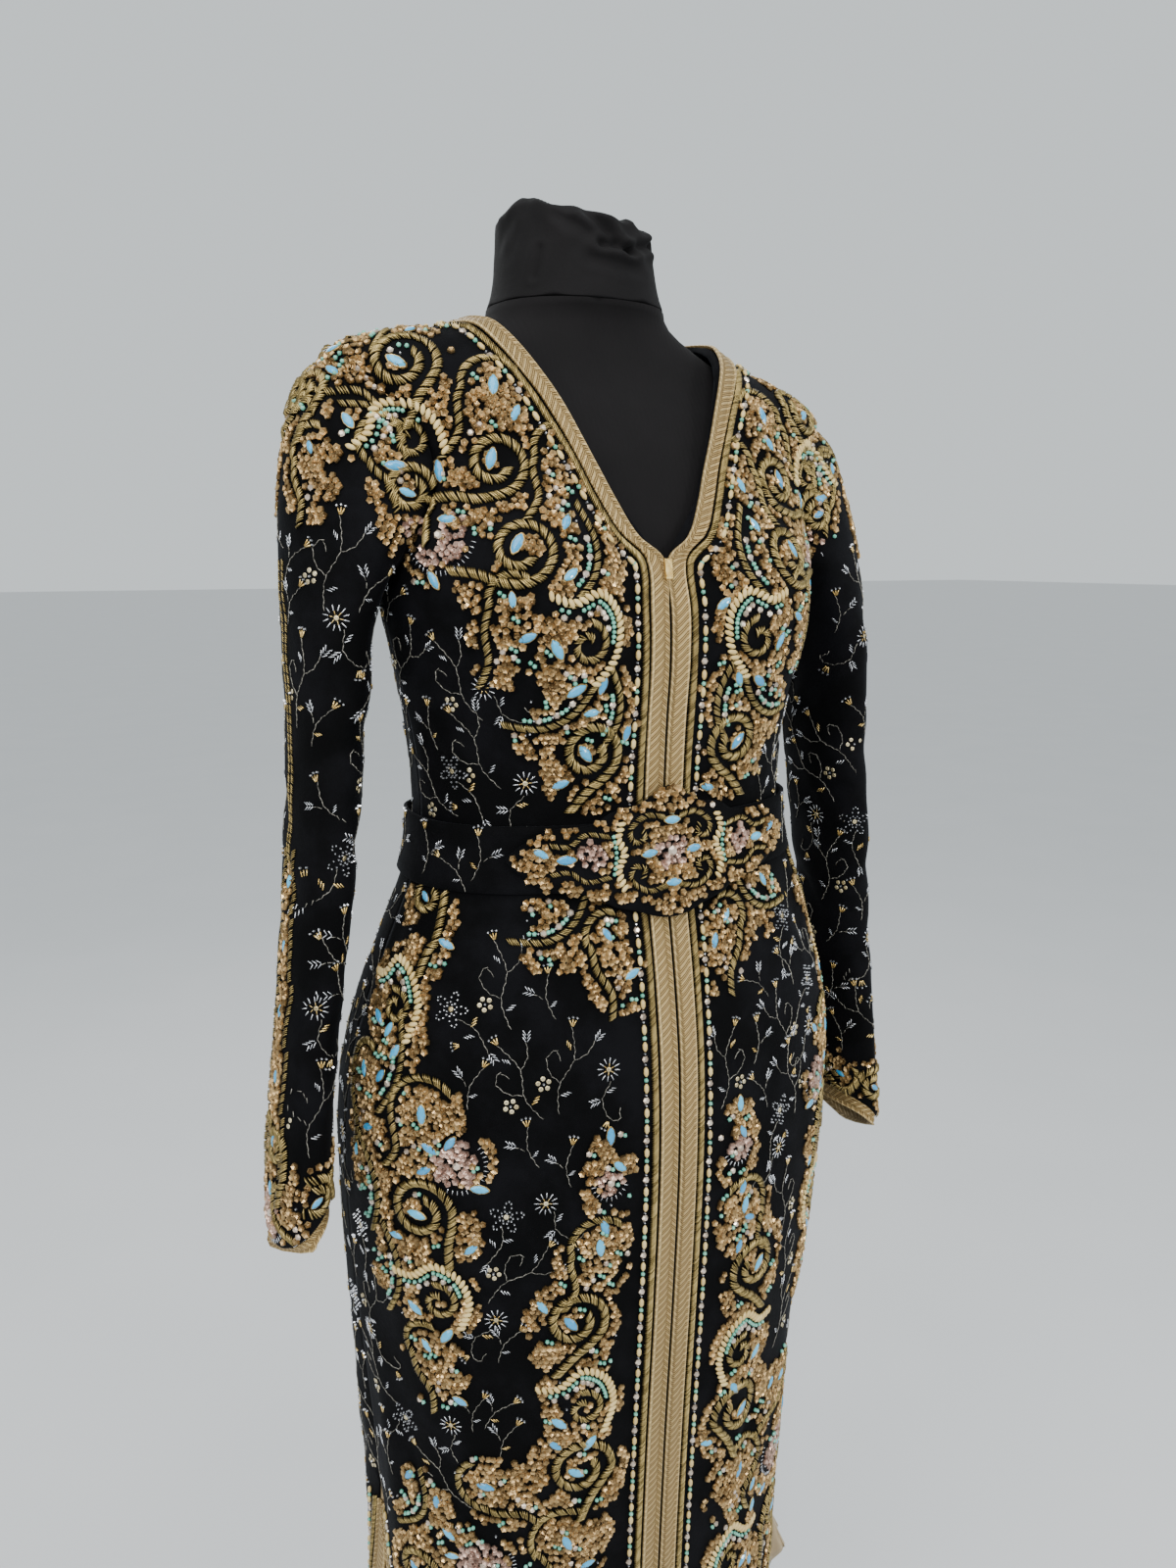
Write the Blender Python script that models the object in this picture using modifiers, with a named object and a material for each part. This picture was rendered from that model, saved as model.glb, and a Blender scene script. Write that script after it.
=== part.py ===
"""A beaded velvet midi dress worn by a limbless dress form, built the way it is cut and sewn.

Metres, +Z up, the floor at z = 0. The dress faces -Y, and the wearer's left is +X.
Cloth pieces are thin walls on one body surface, 0.3 mm apart at their seams, and the trims lie
on the panels, made from the same points moved out.
"""
import math
from collections import namedtuple
from functools import lru_cache

import bmesh
import bpy
from mathutils import Vector

# Driving sizes. Two pieces of cloth lie SEAM_GAP apart, and SEAM_SHARE is the share of its
# width by which a panel stops short of the centre front and of the side line.
SEAM_GAP = 0.0003
SEAM_SHARE = 0.00075
VELVET = 0.0024
SATIN = 0.0012
BRAID = 0.0018
APPLIQUE_RISE = 0.0034
HEM_Z = 0.28
CHEST_Z = 1.245
UNDERARM_Z = 1.228
SHOULDER_TIP_Z = 1.376
NECK_POINT_Z = 1.4115
NAPE_Z = 1.4165
WAIST_Z = 1.047
SQUARENESS = 2.25
FORM_GAP = 0.0038
FORM_SWELL = 0.6
SHOULDER_EASE = 0.011
FORM_BOTTOM_Z = 0.80
FORM_NECK_SEAM_Z = 1.426
BASE_RADIUS = 0.18
BASE_THICKNESS = 0.008
POLE_RADIUS = 0.016

# The outer face of the velvet, one row for each section. centre is the y of the widest point,
# and front and back are how far the section reaches from it.
Section = namedtuple("Section", "z half_width front back centre")
BODY = [
    Section(z=0.26, half_width=0.178, front=0.140, back=0.144, centre=0.038),
    Section(z=0.42, half_width=0.179, front=0.139, back=0.143, centre=0.034),
    Section(z=0.58, half_width=0.187, front=0.140, back=0.144, centre=0.027),
    Section(z=0.72, half_width=0.198, front=0.142, back=0.145, centre=0.019),
    Section(z=0.82, half_width=0.203, front=0.140, back=0.142, centre=0.012),
    Section(z=0.90, half_width=0.196, front=0.130, back=0.133, centre=0.004),
    Section(z=0.97, half_width=0.174, front=0.112, back=0.113, centre=-0.004),
    Section(z=1.047, half_width=0.147, front=0.090, back=0.092, centre=-0.012),
    Section(z=1.11, half_width=0.147, front=0.091, back=0.092, centre=-0.011),
    Section(z=1.18, half_width=0.158, front=0.097, back=0.096, centre=-0.007),
    Section(z=1.228, half_width=0.167, front=0.096, back=0.099, centre=-0.003),
    Section(z=1.265, half_width=0.171, front=0.092, back=0.100, centre=0.0),
    Section(z=1.30, half_width=0.176, front=0.085, back=0.098, centre=0.002),
    Section(z=1.34, half_width=0.187, front=0.078, back=0.091, centre=0.006),
    Section(z=1.362, half_width=0.196, front=0.072, back=0.083, centre=0.010),
    Section(z=1.376, half_width=0.199, front=0.067, back=0.075, centre=0.013),
    Section(z=1.388, half_width=0.180, front=0.062, back=0.070, centre=0.016),
    Section(z=1.398, half_width=0.146, front=0.059, back=0.066, centre=0.020),
    Section(z=1.407, half_width=0.106, front=0.058, back=0.063, centre=0.025),
    Section(z=1.417, half_width=0.077, front=0.058, back=0.060, centre=0.029),
    Section(z=1.430, half_width=0.0635, front=0.058, back=0.059, centre=0.031),
    Section(z=1.460, half_width=0.058, front=0.055, back=0.056, centre=0.032),
    Section(z=1.510, half_width=0.053, front=0.051, back=0.051, centre=0.033),
]

# Darts fill the bust and the seat out from the plain sections.
Swell = namedtuple("Swell", "x front z rise wide tall")
SWELLS = [
    Swell(x=0.083, front=True, z=1.215, rise=0.0250, wide=0.056, tall=0.060),
    Swell(x=0.080, front=False, z=0.840, rise=0.0080, wide=0.070, tall=0.075),
    Swell(x=0.075, front=False, z=1.310, rise=0.0050, wide=0.060, tall=0.060),
]

# Long soft folds of the velvet: round is degrees from the centre front, and low and high are
# the heights between which a fold runs. left and right are the wearer's sides.
Fold = namedtuple("Fold", "side round low high rise width")
FOLD_FADE = 0.35  # the share of its length in which a fold rises and sinks again
FOLDS = [
    Fold(side=-1, round=77, low=0.10, high=0.74, rise=0.0050, width=5.0),
    Fold(side=-1, round=88, low=0.10, high=0.70, rise=-0.0040, width=4.5),
    Fold(side=-1, round=99, low=0.10, high=0.80, rise=0.0060, width=5.5),
    Fold(side=-1, round=116, low=0.10, high=0.84, rise=0.0065, width=6.5),
    Fold(side=-1, round=139, low=0.10, high=0.86, rise=0.0060, width=7.0),
    Fold(side=-1, round=163, low=0.10, high=0.84, rise=0.0055, width=7.0),
    Fold(side=1, round=78, low=0.10, high=0.72, rise=0.0045, width=5.0),
    Fold(side=1, round=97, low=0.10, high=0.78, rise=0.0060, width=5.5),
    Fold(side=1, round=119, low=0.10, high=0.86, rise=0.0060, width=6.5),
    Fold(side=1, round=147, low=0.10, high=0.84, rise=0.0060, width=7.5),
    Fold(side=-1, round=62, low=0.88, high=1.02, rise=0.0030, width=4.0),
    Fold(side=-1, round=48, low=0.86, high=1.03, rise=0.0026, width=4.0),
    Fold(side=-1, round=33, low=0.88, high=1.02, rise=0.0020, width=3.5),
    Fold(side=1, round=58, low=0.87, high=1.02, rise=0.0026, width=4.0),
    Fold(side=1, round=40, low=0.87, high=1.02, rise=0.0022, width=4.0),
    Fold(side=-1, round=112, low=0.96, high=1.21, rise=0.0030, width=6.0),
    Fold(side=1, round=110, low=0.96, high=1.21, rise=0.0030, width=6.0),
    Fold(side=-1, round=150, low=0.92, high=1.03, rise=0.0026, width=6.0),
    Fold(side=1, round=150, low=0.92, high=1.03, rise=0.0026, width=6.0),
]

# The V neckline: half its width at shares of its height, up to the last one before the shoulder
# seam, where it is as wide as the neck.
NECK_SHARES = [0, 0.10, 0.39, 0.66, 0.84]
NECK_HALF_WIDTHS = [0, 0.019, 0.042, 0.062, 0.078]

# On the wearer's left the shoulder sits lower on the form, and the sleeve with it.
DROOP = 0.022
DROOP_FROM_X, DROOP_FULL_X = 0.05, 0.19
DROOP_FROM_Z, DROOP_FULL_Z = 1.20, 1.36

# Beaded applique, thick enough to stand out from the velvet. Each row is an oval patch on the
# wearer's right front, and the left front mirrors it. turn is degrees from upright.
Patch = namedtuple("Patch", "round z half_length half_width turn")
FRONT_APPLIQUE = [
    Patch(round=84, z=1.395, half_length=0.036, half_width=0.020, turn=80),
    Patch(round=72, z=1.372, half_length=0.042, half_width=0.022, turn=60),
    Patch(round=50, z=1.362, half_length=0.030, half_width=0.026, turn=20),
    Patch(round=34, z=1.342, half_length=0.034, half_width=0.020, turn=-25),
    Patch(round=58, z=1.318, half_length=0.030, half_width=0.024, turn=35),
    Patch(round=40, z=1.298, half_length=0.036, half_width=0.026, turn=-50),
    Patch(round=21, z=1.300, half_length=0.034, half_width=0.020, turn=-20),
    Patch(round=54, z=1.262, half_length=0.030, half_width=0.024, turn=10),
    Patch(round=37, z=1.246, half_length=0.036, half_width=0.028, turn=-60),
    Patch(round=17, z=1.248, half_length=0.034, half_width=0.020, turn=-10),
    Patch(round=40, z=1.200, half_length=0.036, half_width=0.016, turn=-15),
    Patch(round=21, z=1.196, half_length=0.032, half_width=0.028, turn=0),
    Patch(round=13, z=1.150, half_length=0.030, half_width=0.016, turn=0),
    Patch(round=27, z=1.146, half_length=0.034, half_width=0.018, turn=-60),
    Patch(round=20, z=1.110, half_length=0.026, half_width=0.022, turn=0),
    Patch(round=26, z=1.002, half_length=0.034, half_width=0.022, turn=-55),
    Patch(round=13, z=0.975, half_length=0.032, half_width=0.016, turn=10),
    Patch(round=70, z=1.000, half_length=0.034, half_width=0.018, turn=15),
    Patch(round=78, z=0.945, half_length=0.036, half_width=0.017, turn=5),
    Patch(round=67, z=0.905, half_length=0.036, half_width=0.014, turn=-8),
    Patch(round=79, z=0.875, half_length=0.036, half_width=0.018, turn=0),
    Patch(round=58, z=0.862, half_length=0.036, half_width=0.030, turn=-20),
    Patch(round=47, z=0.838, half_length=0.024, half_width=0.020, turn=60),
    Patch(round=73, z=0.812, half_length=0.036, half_width=0.020, turn=10),
    Patch(round=54, z=0.792, half_length=0.034, half_width=0.028, turn=50),
    Patch(round=66, z=0.748, half_length=0.036, half_width=0.017, turn=0),
    Patch(round=54, z=0.732, half_length=0.028, half_width=0.026, turn=0),
    Patch(round=56, z=0.672, half_length=0.036, half_width=0.018, turn=10),
    Patch(round=13, z=0.818, half_length=0.036, half_width=0.014, turn=0),
    Patch(round=16, z=0.756, half_length=0.034, half_width=0.022, turn=-15),
    Patch(round=20, z=0.702, half_length=0.032, half_width=0.026, turn=0),
    Patch(round=19, z=0.640, half_length=0.036, half_width=0.028, turn=0),
    Patch(round=18, z=0.576, half_length=0.032, half_width=0.028, turn=20),
    Patch(round=38, z=0.566, half_length=0.036, half_width=0.022, turn=60),
    Patch(round=22, z=0.512, half_length=0.034, half_width=0.028, turn=0),
    Patch(round=44, z=0.500, half_length=0.036, half_width=0.024, turn=50),
    Patch(round=64, z=0.540, half_length=0.030, half_width=0.020, turn=-20),
    Patch(round=66, z=0.462, half_length=0.034, half_width=0.022, turn=0),
    Patch(round=22, z=0.436, half_length=0.036, half_width=0.026, turn=0),
    Patch(round=44, z=0.424, half_length=0.034, half_width=0.024, turn=40),
    Patch(round=30, z=0.360, half_length=0.036, half_width=0.024, turn=60),
    Patch(round=56, z=0.366, half_length=0.034, half_width=0.022, turn=60),
]
# On the back only a yoke below the nape and the shoulders is worked this thick.
BACK_APPLIQUE = [
    Patch(round=98, z=1.392, half_length=0.030, half_width=0.018, turn=-80),
    Patch(round=112, z=1.368, half_length=0.034, half_width=0.020, turn=-50),
    Patch(round=140, z=1.366, half_length=0.032, half_width=0.022, turn=-60),
    Patch(round=163, z=1.350, half_length=0.030, half_width=0.020, turn=-50),
]

# The sleeves as horizontal sections below the underarm. The half widths are of the outer face,
# and the left sleeve hangs further out than the right.
SleeveSection = namedtuple("SleeveSection", "z right_x left_x y half_wide half_deep")
SLEEVE = [
    SleeveSection(z=1.200, right_x=0.2040, left_x=0.2180, y=0.006, half_wide=0.0260, half_deep=0.050),
    SleeveSection(z=1.120, right_x=0.2090, left_x=0.2260, y=0.005, half_wide=0.0215, half_deep=0.044),
    SleeveSection(z=1.030, right_x=0.2180, left_x=0.2320, y=0.001, half_wide=0.0195, half_deep=0.041),
    SleeveSection(z=0.930, right_x=0.2320, left_x=0.2370, y=-0.006, half_wide=0.0180, half_deep=0.039),
    SleeveSection(z=0.850, right_x=0.2430, left_x=0.2410, y=-0.014, half_wide=0.0175, half_deep=0.040),
    SleeveSection(z=0.740, right_x=0.2490, left_x=0.2430, y=-0.018, half_wide=0.0175, half_deep=0.042),
]
CUFF_Z = 0.812
CUFF_POINT = 0.036
CUFF_BRAID_HIGH = 0.013
CUFF_GAP = 0.0008
CAP_REACH_TOP = 0.120
CAP_REACH_LOW = 0.030
# Creases across the sleeve: where along it, in metres below the shoulder, how deep, how long.
Crease = namedtuple("Crease", "below around depth length wide")
SLEEVE_CREASES = [
    Crease(below=0.13, around=0.20, depth=0.0022, length=0.020, wide=0.30),
    Crease(below=0.22, around=0.42, depth=0.0026, length=0.020, wide=0.30),
    Crease(below=0.31, around=0.66, depth=0.0028, length=0.024, wide=0.30),
    Crease(below=0.36, around=0.22, depth=0.0026, length=0.022, wide=0.30),
    Crease(below=0.45, around=0.50, depth=0.0020, length=0.022, wide=0.26),
]
SLEEVE_APPLIQUE = [
    Patch(round=0, z=0.10, half_length=0.060, half_width=0.034, turn=0),
    Patch(round=14, z=0.405, half_length=0.045, half_width=0.014, turn=0),
    Patch(round=14, z=0.490, half_length=0.045, half_width=0.018, turn=0),
    Patch(round=10, z=0.560, half_length=0.034, half_width=0.026, turn=0),
]

# Trims
FRONT_BAND_WIDE = 0.0150
BELT_HIGH = 0.046
BELT_GAP = 0.0024
BELT_OVER_BRAID = 0.0007
PLATE_HALF_WIDE = 0.114
PLATE_GAP = 0.0006
PLATE_THICK = 0.0042
# The belt plate's outline: how high it reaches above and below its middle at shares of its
# half width, from the centre to the point.
PLATE_SHARES = [0, 0.12, 0.27, 0.36, 0.46, 0.60, 0.74, 0.88, 1.0]
PLATE_ABOVE = [0.047, 0.040, 0.031, 0.033, 0.024, 0.022, 0.021, 0.013, 0.001]
PLATE_BELOW = [0.046, 0.044, 0.037, 0.036, 0.028, 0.023, 0.022, 0.013, 0.001]

# Side slits with a gold braid edge and a pleated satin godet
SLIT_TOP_Z = HEM_Z + (UNDERARM_Z - HEM_Z) / 4
SLIT_HALF_HEM = 0.042
SLIT_BRAID_WIDE = 0.014
SLIT_BAND_PROUD = 0.0005
GODET_TOP_Z = SLIT_TOP_Z - 0.095
GODET_TUCK = 0.0028
GODET_REACH = 0.052
GODET_PLEATS = 4
GODET_PLEAT_DEEP = 0.0075

# How finely the cloth is worked. A quarter of the rows below the underarm lie beside the slits,
# and the back's first columns, up to the nape's corner and one more, carry the neck braid.
FRONT_COLUMNS, FRONT_ROWS, FRONT_YOKE_ROWS = 14, 28, 10
BACK_COLUMNS, BACK_ROWS, BACK_YOKE_ROWS = 12, 28, 8
NAPE_COLUMNS = 5
SLEEVE_CAP_ROWS, SLEEVE_ROWS = 5, 17

FORM = bpy.data.collections.new("dress_and_form")


def clear_scene():
    for obj in list(bpy.data.objects):
        bpy.data.objects.remove(obj)


def surface_look(name, colour, roughness, metallic=0.0):
    """A plain material with the piece's colour and gloss."""
    material = bpy.data.materials.get(name)
    if material is None:
        material = bpy.data.materials.new(name)
        material.use_nodes = True
        shader = material.node_tree.nodes["Principled BSDF"]
        shader.inputs["Base Color"].default_value = (*colour, 1.0)
        shader.inputs["Roughness"].default_value = roughness
        shader.inputs["Metallic"].default_value = metallic
    return material


def black_velvet():
    return surface_look("black_velvet", (0.008, 0.008, 0.010), 0.85)


def gold_braid():
    return surface_look("gold_braid", (0.52, 0.38, 0.17), 0.40, 0.7)


def gold_satin():
    return surface_look("gold_satin", (0.42, 0.33, 0.19), 0.42, 0.2)


def black_jersey():
    return surface_look("black_jersey", (0.012, 0.011, 0.012), 0.9)


def grey_metal():
    return surface_look("stand_metal", (0.20, 0.20, 0.21), 0.35, 0.9)


def smooth_table(places, values, at):
    """A smooth curve through a table's values, with each row's slope taken from its neighbours."""
    at = min(max(at, places[0]), places[-1])
    k = max(i for i in range(len(places) - 1) if places[i] <= at)
    step = places[k + 1] - places[k]
    share = (at - places[k]) / step

    def slope(i):
        low, high = max(i - 1, 0), min(i + 1, len(places) - 1)
        return (values[high] - values[low]) / (places[high] - places[low])

    start, end = values[k], values[k + 1]
    cube, square = share**3, share**2
    return (
        (2 * cube - 3 * square + 1) * start
        + (cube - 2 * square + share) * step * slope(k)
        + (3 * square - 2 * cube) * end
        + (cube - square) * step * slope(k + 1)
    )


def straight_table(places, values, at):
    at = min(max(at, places[0]), places[-1])
    k = max(i for i in range(len(places) - 1) if places[i] <= at)
    share = (at - places[k]) / (places[k + 1] - places[k])
    return values[k] + share * (values[k + 1] - values[k])


BODY_Z = [row.z for row in BODY]
BODY_COLUMNS = {name: [getattr(row, name) for row in BODY] for name in Section._fields}


@lru_cache(maxsize=None)
def section(z):
    return {name: smooth_table(BODY_Z, BODY_COLUMNS[name], z) for name in Section._fields}


def plain_body(turn, z):
    """A point of the body surface without swells: turn is radians from the centre front, with
    the wearer's left positive."""
    row = section(round(z, 7))
    depth = row["front"] if math.cos(turn) > 0 else row["back"]
    power = 2 / SQUARENESS
    x = math.copysign(abs(math.sin(turn)) ** power, math.sin(turn)) * row["half_width"]
    y = row["centre"] - math.copysign(abs(math.cos(turn)) ** power, math.cos(turn)) * depth
    return Vector((x, y, z))


def plain_normal(turn, z):
    """The outward direction of the plain body, from the slope of its outline equation."""
    turn = math.remainder(turn, 2 * math.pi)
    around = 0.01
    along = plain_body(turn + around, z) - plain_body(turn - around, z)
    step = 0.0015
    up = plain_body(turn, z + step) - plain_body(turn, z - step)
    return along.cross(up).normalized()


def bump(offset, width):
    return math.exp(-((offset / width) ** 2))


def swell(point):
    rise = 0.0
    for row in SWELLS:
        for side in (-1, 1):
            if (point.y < 0) == row.front:
                across = bump(point.x - side * row.x, row.wide)
                rise += row.rise * across * bump(point.z - row.z, row.tall)
    return rise


def fold_rise(turn, z):
    """How far the long folds stand out at a place. They fade in and out along their length."""
    degrees = math.degrees(math.remainder(turn, 2 * math.pi))
    rise = 0.0
    for row in FOLDS:
        if not row.low < z < row.high:
            continue
        ends = min((z - row.low), (row.high - z)) / (FOLD_FADE * (row.high - row.low))
        fade = math.sin(math.pi / 2 * min(1.0, ends)) ** 2
        rise += row.rise * fade * bump(degrees - row.side * row.round, row.width)
    return rise


def ease_in(value, start, end):
    """0 before start and 1 after end, with a smooth run between them."""
    share = min(1.0, max(0.0, (value - start) / (end - start)))
    return share * share * (3 - 2 * share)


def settled(point):
    """The point lowered with the left shoulder."""
    drop = DROOP * ease_in(point.x, DROOP_FROM_X, DROOP_FULL_X)
    return point - Vector((0, 0, drop * ease_in(point.z, DROOP_FROM_Z, DROOP_FULL_Z)))


@lru_cache(maxsize=None)
def skin(turn, z):
    """The velvet's outer face at a place, and the outward direction there."""
    point, normal = plain_body(turn, z), plain_normal(turn, z)
    return settled(point + normal * (swell(point) + fold_rise(turn, z))), normal


@lru_cache(maxsize=None)
def arc_table(z, front):
    """Lengths along a quarter section, from the centre front or back to the side."""
    steps = 60
    start = 0.0 if front else math.pi
    turns = [start + (math.pi / 2 - start) * i / steps for i in range(steps + 1)]
    lengths = [0.0]
    for a, b in zip(turns, turns[1:]):
        lengths.append(lengths[-1] + (plain_body(b, z) - plain_body(a, z)).length)
    return turns, lengths


def turn_at(z, distance, front=True):
    """The turn that lies a distance round from the centre line, on the wearer's left."""
    turns, lengths = arc_table(round(z, 6), front)
    return straight_table(lengths, turns, distance)


def quarter_length(z, front=True):
    return arc_table(round(z, 6), front)[1][-1]


def chest_edge_z(share):
    """Where the yoke starts: at the foot of the V in front, and at the underarm at the side."""
    return CHEST_Z + (UNDERARM_Z - CHEST_Z) * (share * share * (3 - 2 * share))


ARMHOLE_MIDDLE_Z = (SHOULDER_TIP_Z + UNDERARM_Z) / 2
ARMHOLE_HALF_HIGH = (SHOULDER_TIP_Z - UNDERARM_Z) / 2
ARMHOLE_HALF_DEEP = 0.055


def armhole(share, front):
    """(turn, z) on the armhole: share 0 at the shoulder tip, and 1 at the underarm."""
    angle = math.pi * share
    z = ARMHOLE_MIDDLE_Z + ARMHOLE_HALF_HIGH * math.cos(angle)
    depth = section(round(z, 7))["front" if front else "back"]
    reach = min(0.98, ARMHOLE_HALF_DEEP * math.sin(angle) / depth)
    turn = math.acos(reach ** (SQUARENESS / 2))
    return (turn if front else math.pi - turn), z


def neckline(share):
    """(turn, z) on the V neckline, from its foot up to the shoulder seam."""
    z = CHEST_Z + (NECK_POINT_Z - CHEST_Z) * share
    half_width = section(round(z, 7))["half_width"]
    x = smooth_table(NECK_SHARES + [1], NECK_HALF_WIDTHS + [NECK_POINT_HALF_WIDTH], share)
    return math.asin(min(1.0, x / half_width) ** (SQUARENESS / 2)), z


def shoulder_z(share):
    """The shoulder seam's height from the neck point to the tip, evenly spaced along it."""
    low, high = SHOULDER_TIP_Z, NECK_POINT_Z
    near = section(high)["half_width"]
    far = section(low)["half_width"]
    wanted = near + (far - near) * share
    for _ in range(30):
        middle = (low + high) / 2
        if section(round(middle, 7))["half_width"] > wanted:
            low = middle
        else:
            high = middle
    return (low + high) / 2


def patch_place(share, up, bottom, top, left, right):
    """A place (turn, z) inside four edges, each a function of its own share."""
    corners = bottom(0), bottom(1), top(0), top(1)
    place = []
    for k in (0, 1):
        ruled = (1 - up) * bottom(share)[k] + up * top(share)[k]
        sides = (1 - share) * left(up)[k] + share * right(up)[k]
        twice = (1 - up) * ((1 - share) * corners[0][k] + share * corners[1][k])
        twice += up * ((1 - share) * corners[2][k] + share * corners[3][k])
        place.append(ruled + sides - twice)
    return tuple(place)


NECK_POINT_HALF_WIDTH = section(NECK_POINT_Z)["half_width"]


def front_yoke(share, up):
    def bottom(s):
        z = chest_edge_z(s)
        return turn_at(z, s * quarter_length(z)), z

    return patch_place(
        share,
        up,
        bottom,
        lambda s: (math.pi / 2, shoulder_z(s)),
        neckline,
        lambda u: armhole(1 - u, True),
    )


NAPE_SHARE = 0.4


def back_yoke(share, up):
    def bottom(s):
        z = chest_edge_z(s)
        return turn_at(z, s * quarter_length(z, False), False), z

    def top(s):
        if s <= NAPE_SHARE:
            across = s / NAPE_SHARE
            dip = across * across * (3 - 2 * across)
            return math.pi * (1 - across / 2), NAPE_Z + (NECK_POINT_Z - NAPE_Z) * dip
        return math.pi / 2, shoulder_z((s - NAPE_SHARE) / (1 - NAPE_SHARE))

    return patch_place(
        share,
        up,
        bottom,
        top,
        lambda u: (math.pi, CHEST_Z + (NAPE_Z - CHEST_Z) * u),
        lambda u: armhole(1 - u, False),
    )


@lru_cache(maxsize=None)
def yoke_column(share, front):
    """A yoke column's places, with their distance up the column."""
    steps = 48
    yoke = front_yoke if front else back_yoke
    places = [yoke(share, i / steps) for i in range(steps + 1)]
    points = [plain_body(*place) for place in places]
    lengths = [0.0]
    for a, b in zip(points, points[1:]):
        lengths.append(lengths[-1] + (b - a).length)
    return places, lengths


def yoke_place(share, up, front):
    """(turn, z) in the yoke, with up measured evenly along the cloth."""
    places, lengths = yoke_column(round(share, 6), front)
    wanted = up * lengths[-1]
    turn = straight_table(lengths, [p[0] for p in places], wanted)
    return turn, straight_table(lengths, [p[1] for p in places], wanted)


def slit_half_width(z):
    """How far each panel's edge stands back from the side line, below the top of the slit."""
    if z >= SLIT_TOP_Z:
        return 0.0
    return SLIT_HALF_HEM * (SLIT_TOP_Z - z) / (SLIT_TOP_Z - HEM_Z)


def panel_place(share, row, rows, yoke_rows, front):
    """(turn, z) of a panel's point, on the wearer's left, for a share of its width."""
    if row > rows:
        up = (row - rows) / yoke_rows
        if not front:
            last = 1 - FRONT_BAND_WIDE / yoke_column(round(share, 6), False)[1][-1]
            up = 1.0 if row == rows + yoke_rows else last * (row - rows) / (yoke_rows - 1)
        return yoke_place(share, up, front)
    z = HEM_Z + (chest_edge_z(share) - HEM_Z) * row / rows
    width = quarter_length(z, front) - slit_half_width(z)
    return turn_at(z, share * width, front), z


# A patch is flat on top, and slopes off between these shares of its half sizes.
PATCH_FLAT, PATCH_FOOT = 0.80, 1.15


def patch_height(reach):
    """How high the applique stands at a share of a patch's half sizes from its middle."""
    return APPLIQUE_RISE * min(1.0, max(0.0, (PATCH_FOOT - reach) / (PATCH_FOOT - PATCH_FLAT)))


def patch_rise(point, patches, anchors):
    """How far applique lifts the outer face: flat on top, with soft edges."""
    rise = 0.0
    for patch, (centre, across, up) in zip(patches, anchors):
        offset = point - centre
        if offset.length > PATCH_FOOT * patch.half_length:
            continue
        turn = math.radians(patch.turn)
        along = offset.dot(up * math.cos(turn) + across * math.sin(turn)) / patch.half_length
        beside = offset.dot(across * math.cos(turn) - up * math.sin(turn)) / patch.half_width
        reach = math.hypot(along, beside)
        rise = max(rise, patch_height(reach))
    return rise


def body_anchors(patches, side):
    """Each patch's centre on the velvet, with the directions across it and up it."""
    anchors = []
    for patch in patches:
        turn = side * math.radians(patch.round)
        centre, normal = skin(turn, patch.z)
        up = (Vector((0, 0, 1)) - normal * normal.z).normalized()
        anchors.append((centre, up.cross(normal) * side, up))
    return anchors


def link(name, mesh, material):
    obj = bpy.data.objects.new(name, mesh)
    mesh.materials.append(material)
    mesh.shade_smooth()
    mesh.set_sharp_from_angle(angle=math.radians(50))
    FORM.objects.link(obj)
    return obj


def cloth_wall(name, outer, inner, material, closed=False, thin_rows=False):
    """A wall between two grids of points, lists of rows. The outer one is raised and fine. With
    thin_rows the plain inner one leaves out every second row, but not round the hollow waist."""
    rows, columns = len(outer), len(outer[0])
    spans = columns if closed else columns - 1
    shell = bmesh.new()
    out = [[shell.verts.new(p) for p in row] for row in outer]
    kept_rows = list(range(rows))
    if thin_rows:
        kept_rows = [r for r in kept_rows if r % 2 == 0 or abs(outer[r][0].z - WAIST_Z) < 0.11]
    back = {(r, c): shell.verts.new(inner[r][c]) for r in kept_rows for c in range(columns)}

    def column(c):
        return c % columns if closed else c

    for r in range(rows - 1):
        for c in range(spans):
            d = column(c + 1)
            shell.faces.new((out[r][c], out[r][d], out[r + 1][d], out[r + 1][c]))
    for r, s in zip(kept_rows, kept_rows[1:]):
        for c in range(spans):
            d = column(c + 1)
            shell.faces.new((back[r, c], back[s, c], back[s, d], back[r, d]))
    for c in range(spans):
        d = column(c + 1)
        for r in (0, rows - 1):
            shell.faces.new((out[r][c], out[r][d], back[r, d], back[r, c]))
    if not closed:
        for r, s in zip(kept_rows, kept_rows[1:]):
            for c in (0, columns - 1):
                edge = [out[k][c] for k in range(r, s + 1)] + [back[s, c], back[r, c]]
                shell.faces.new(edge)
    bmesh.ops.recalc_face_normals(shell, faces=shell.faces)
    if shell.calc_volume(signed=True) < 0:
        bmesh.ops.reverse_faces(shell, faces=shell.faces)
    mesh = bpy.data.meshes.new(name)
    shell.to_mesh(mesh)
    shell.free()
    return link(name, mesh, material)


def under_trim(point, turn, z):
    """True where a band or the belt lies, so that no applique is raised under it."""
    if abs(z - WAIST_Z) < BELT_HIGH / 2 + 0.012:
        return True
    near_plate = abs(z - WAIST_Z) < 0.062 and abs(point.x) < 0.5 * PLATE_HALF_WIDE
    return near_plate and math.cos(turn) > 0


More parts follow.
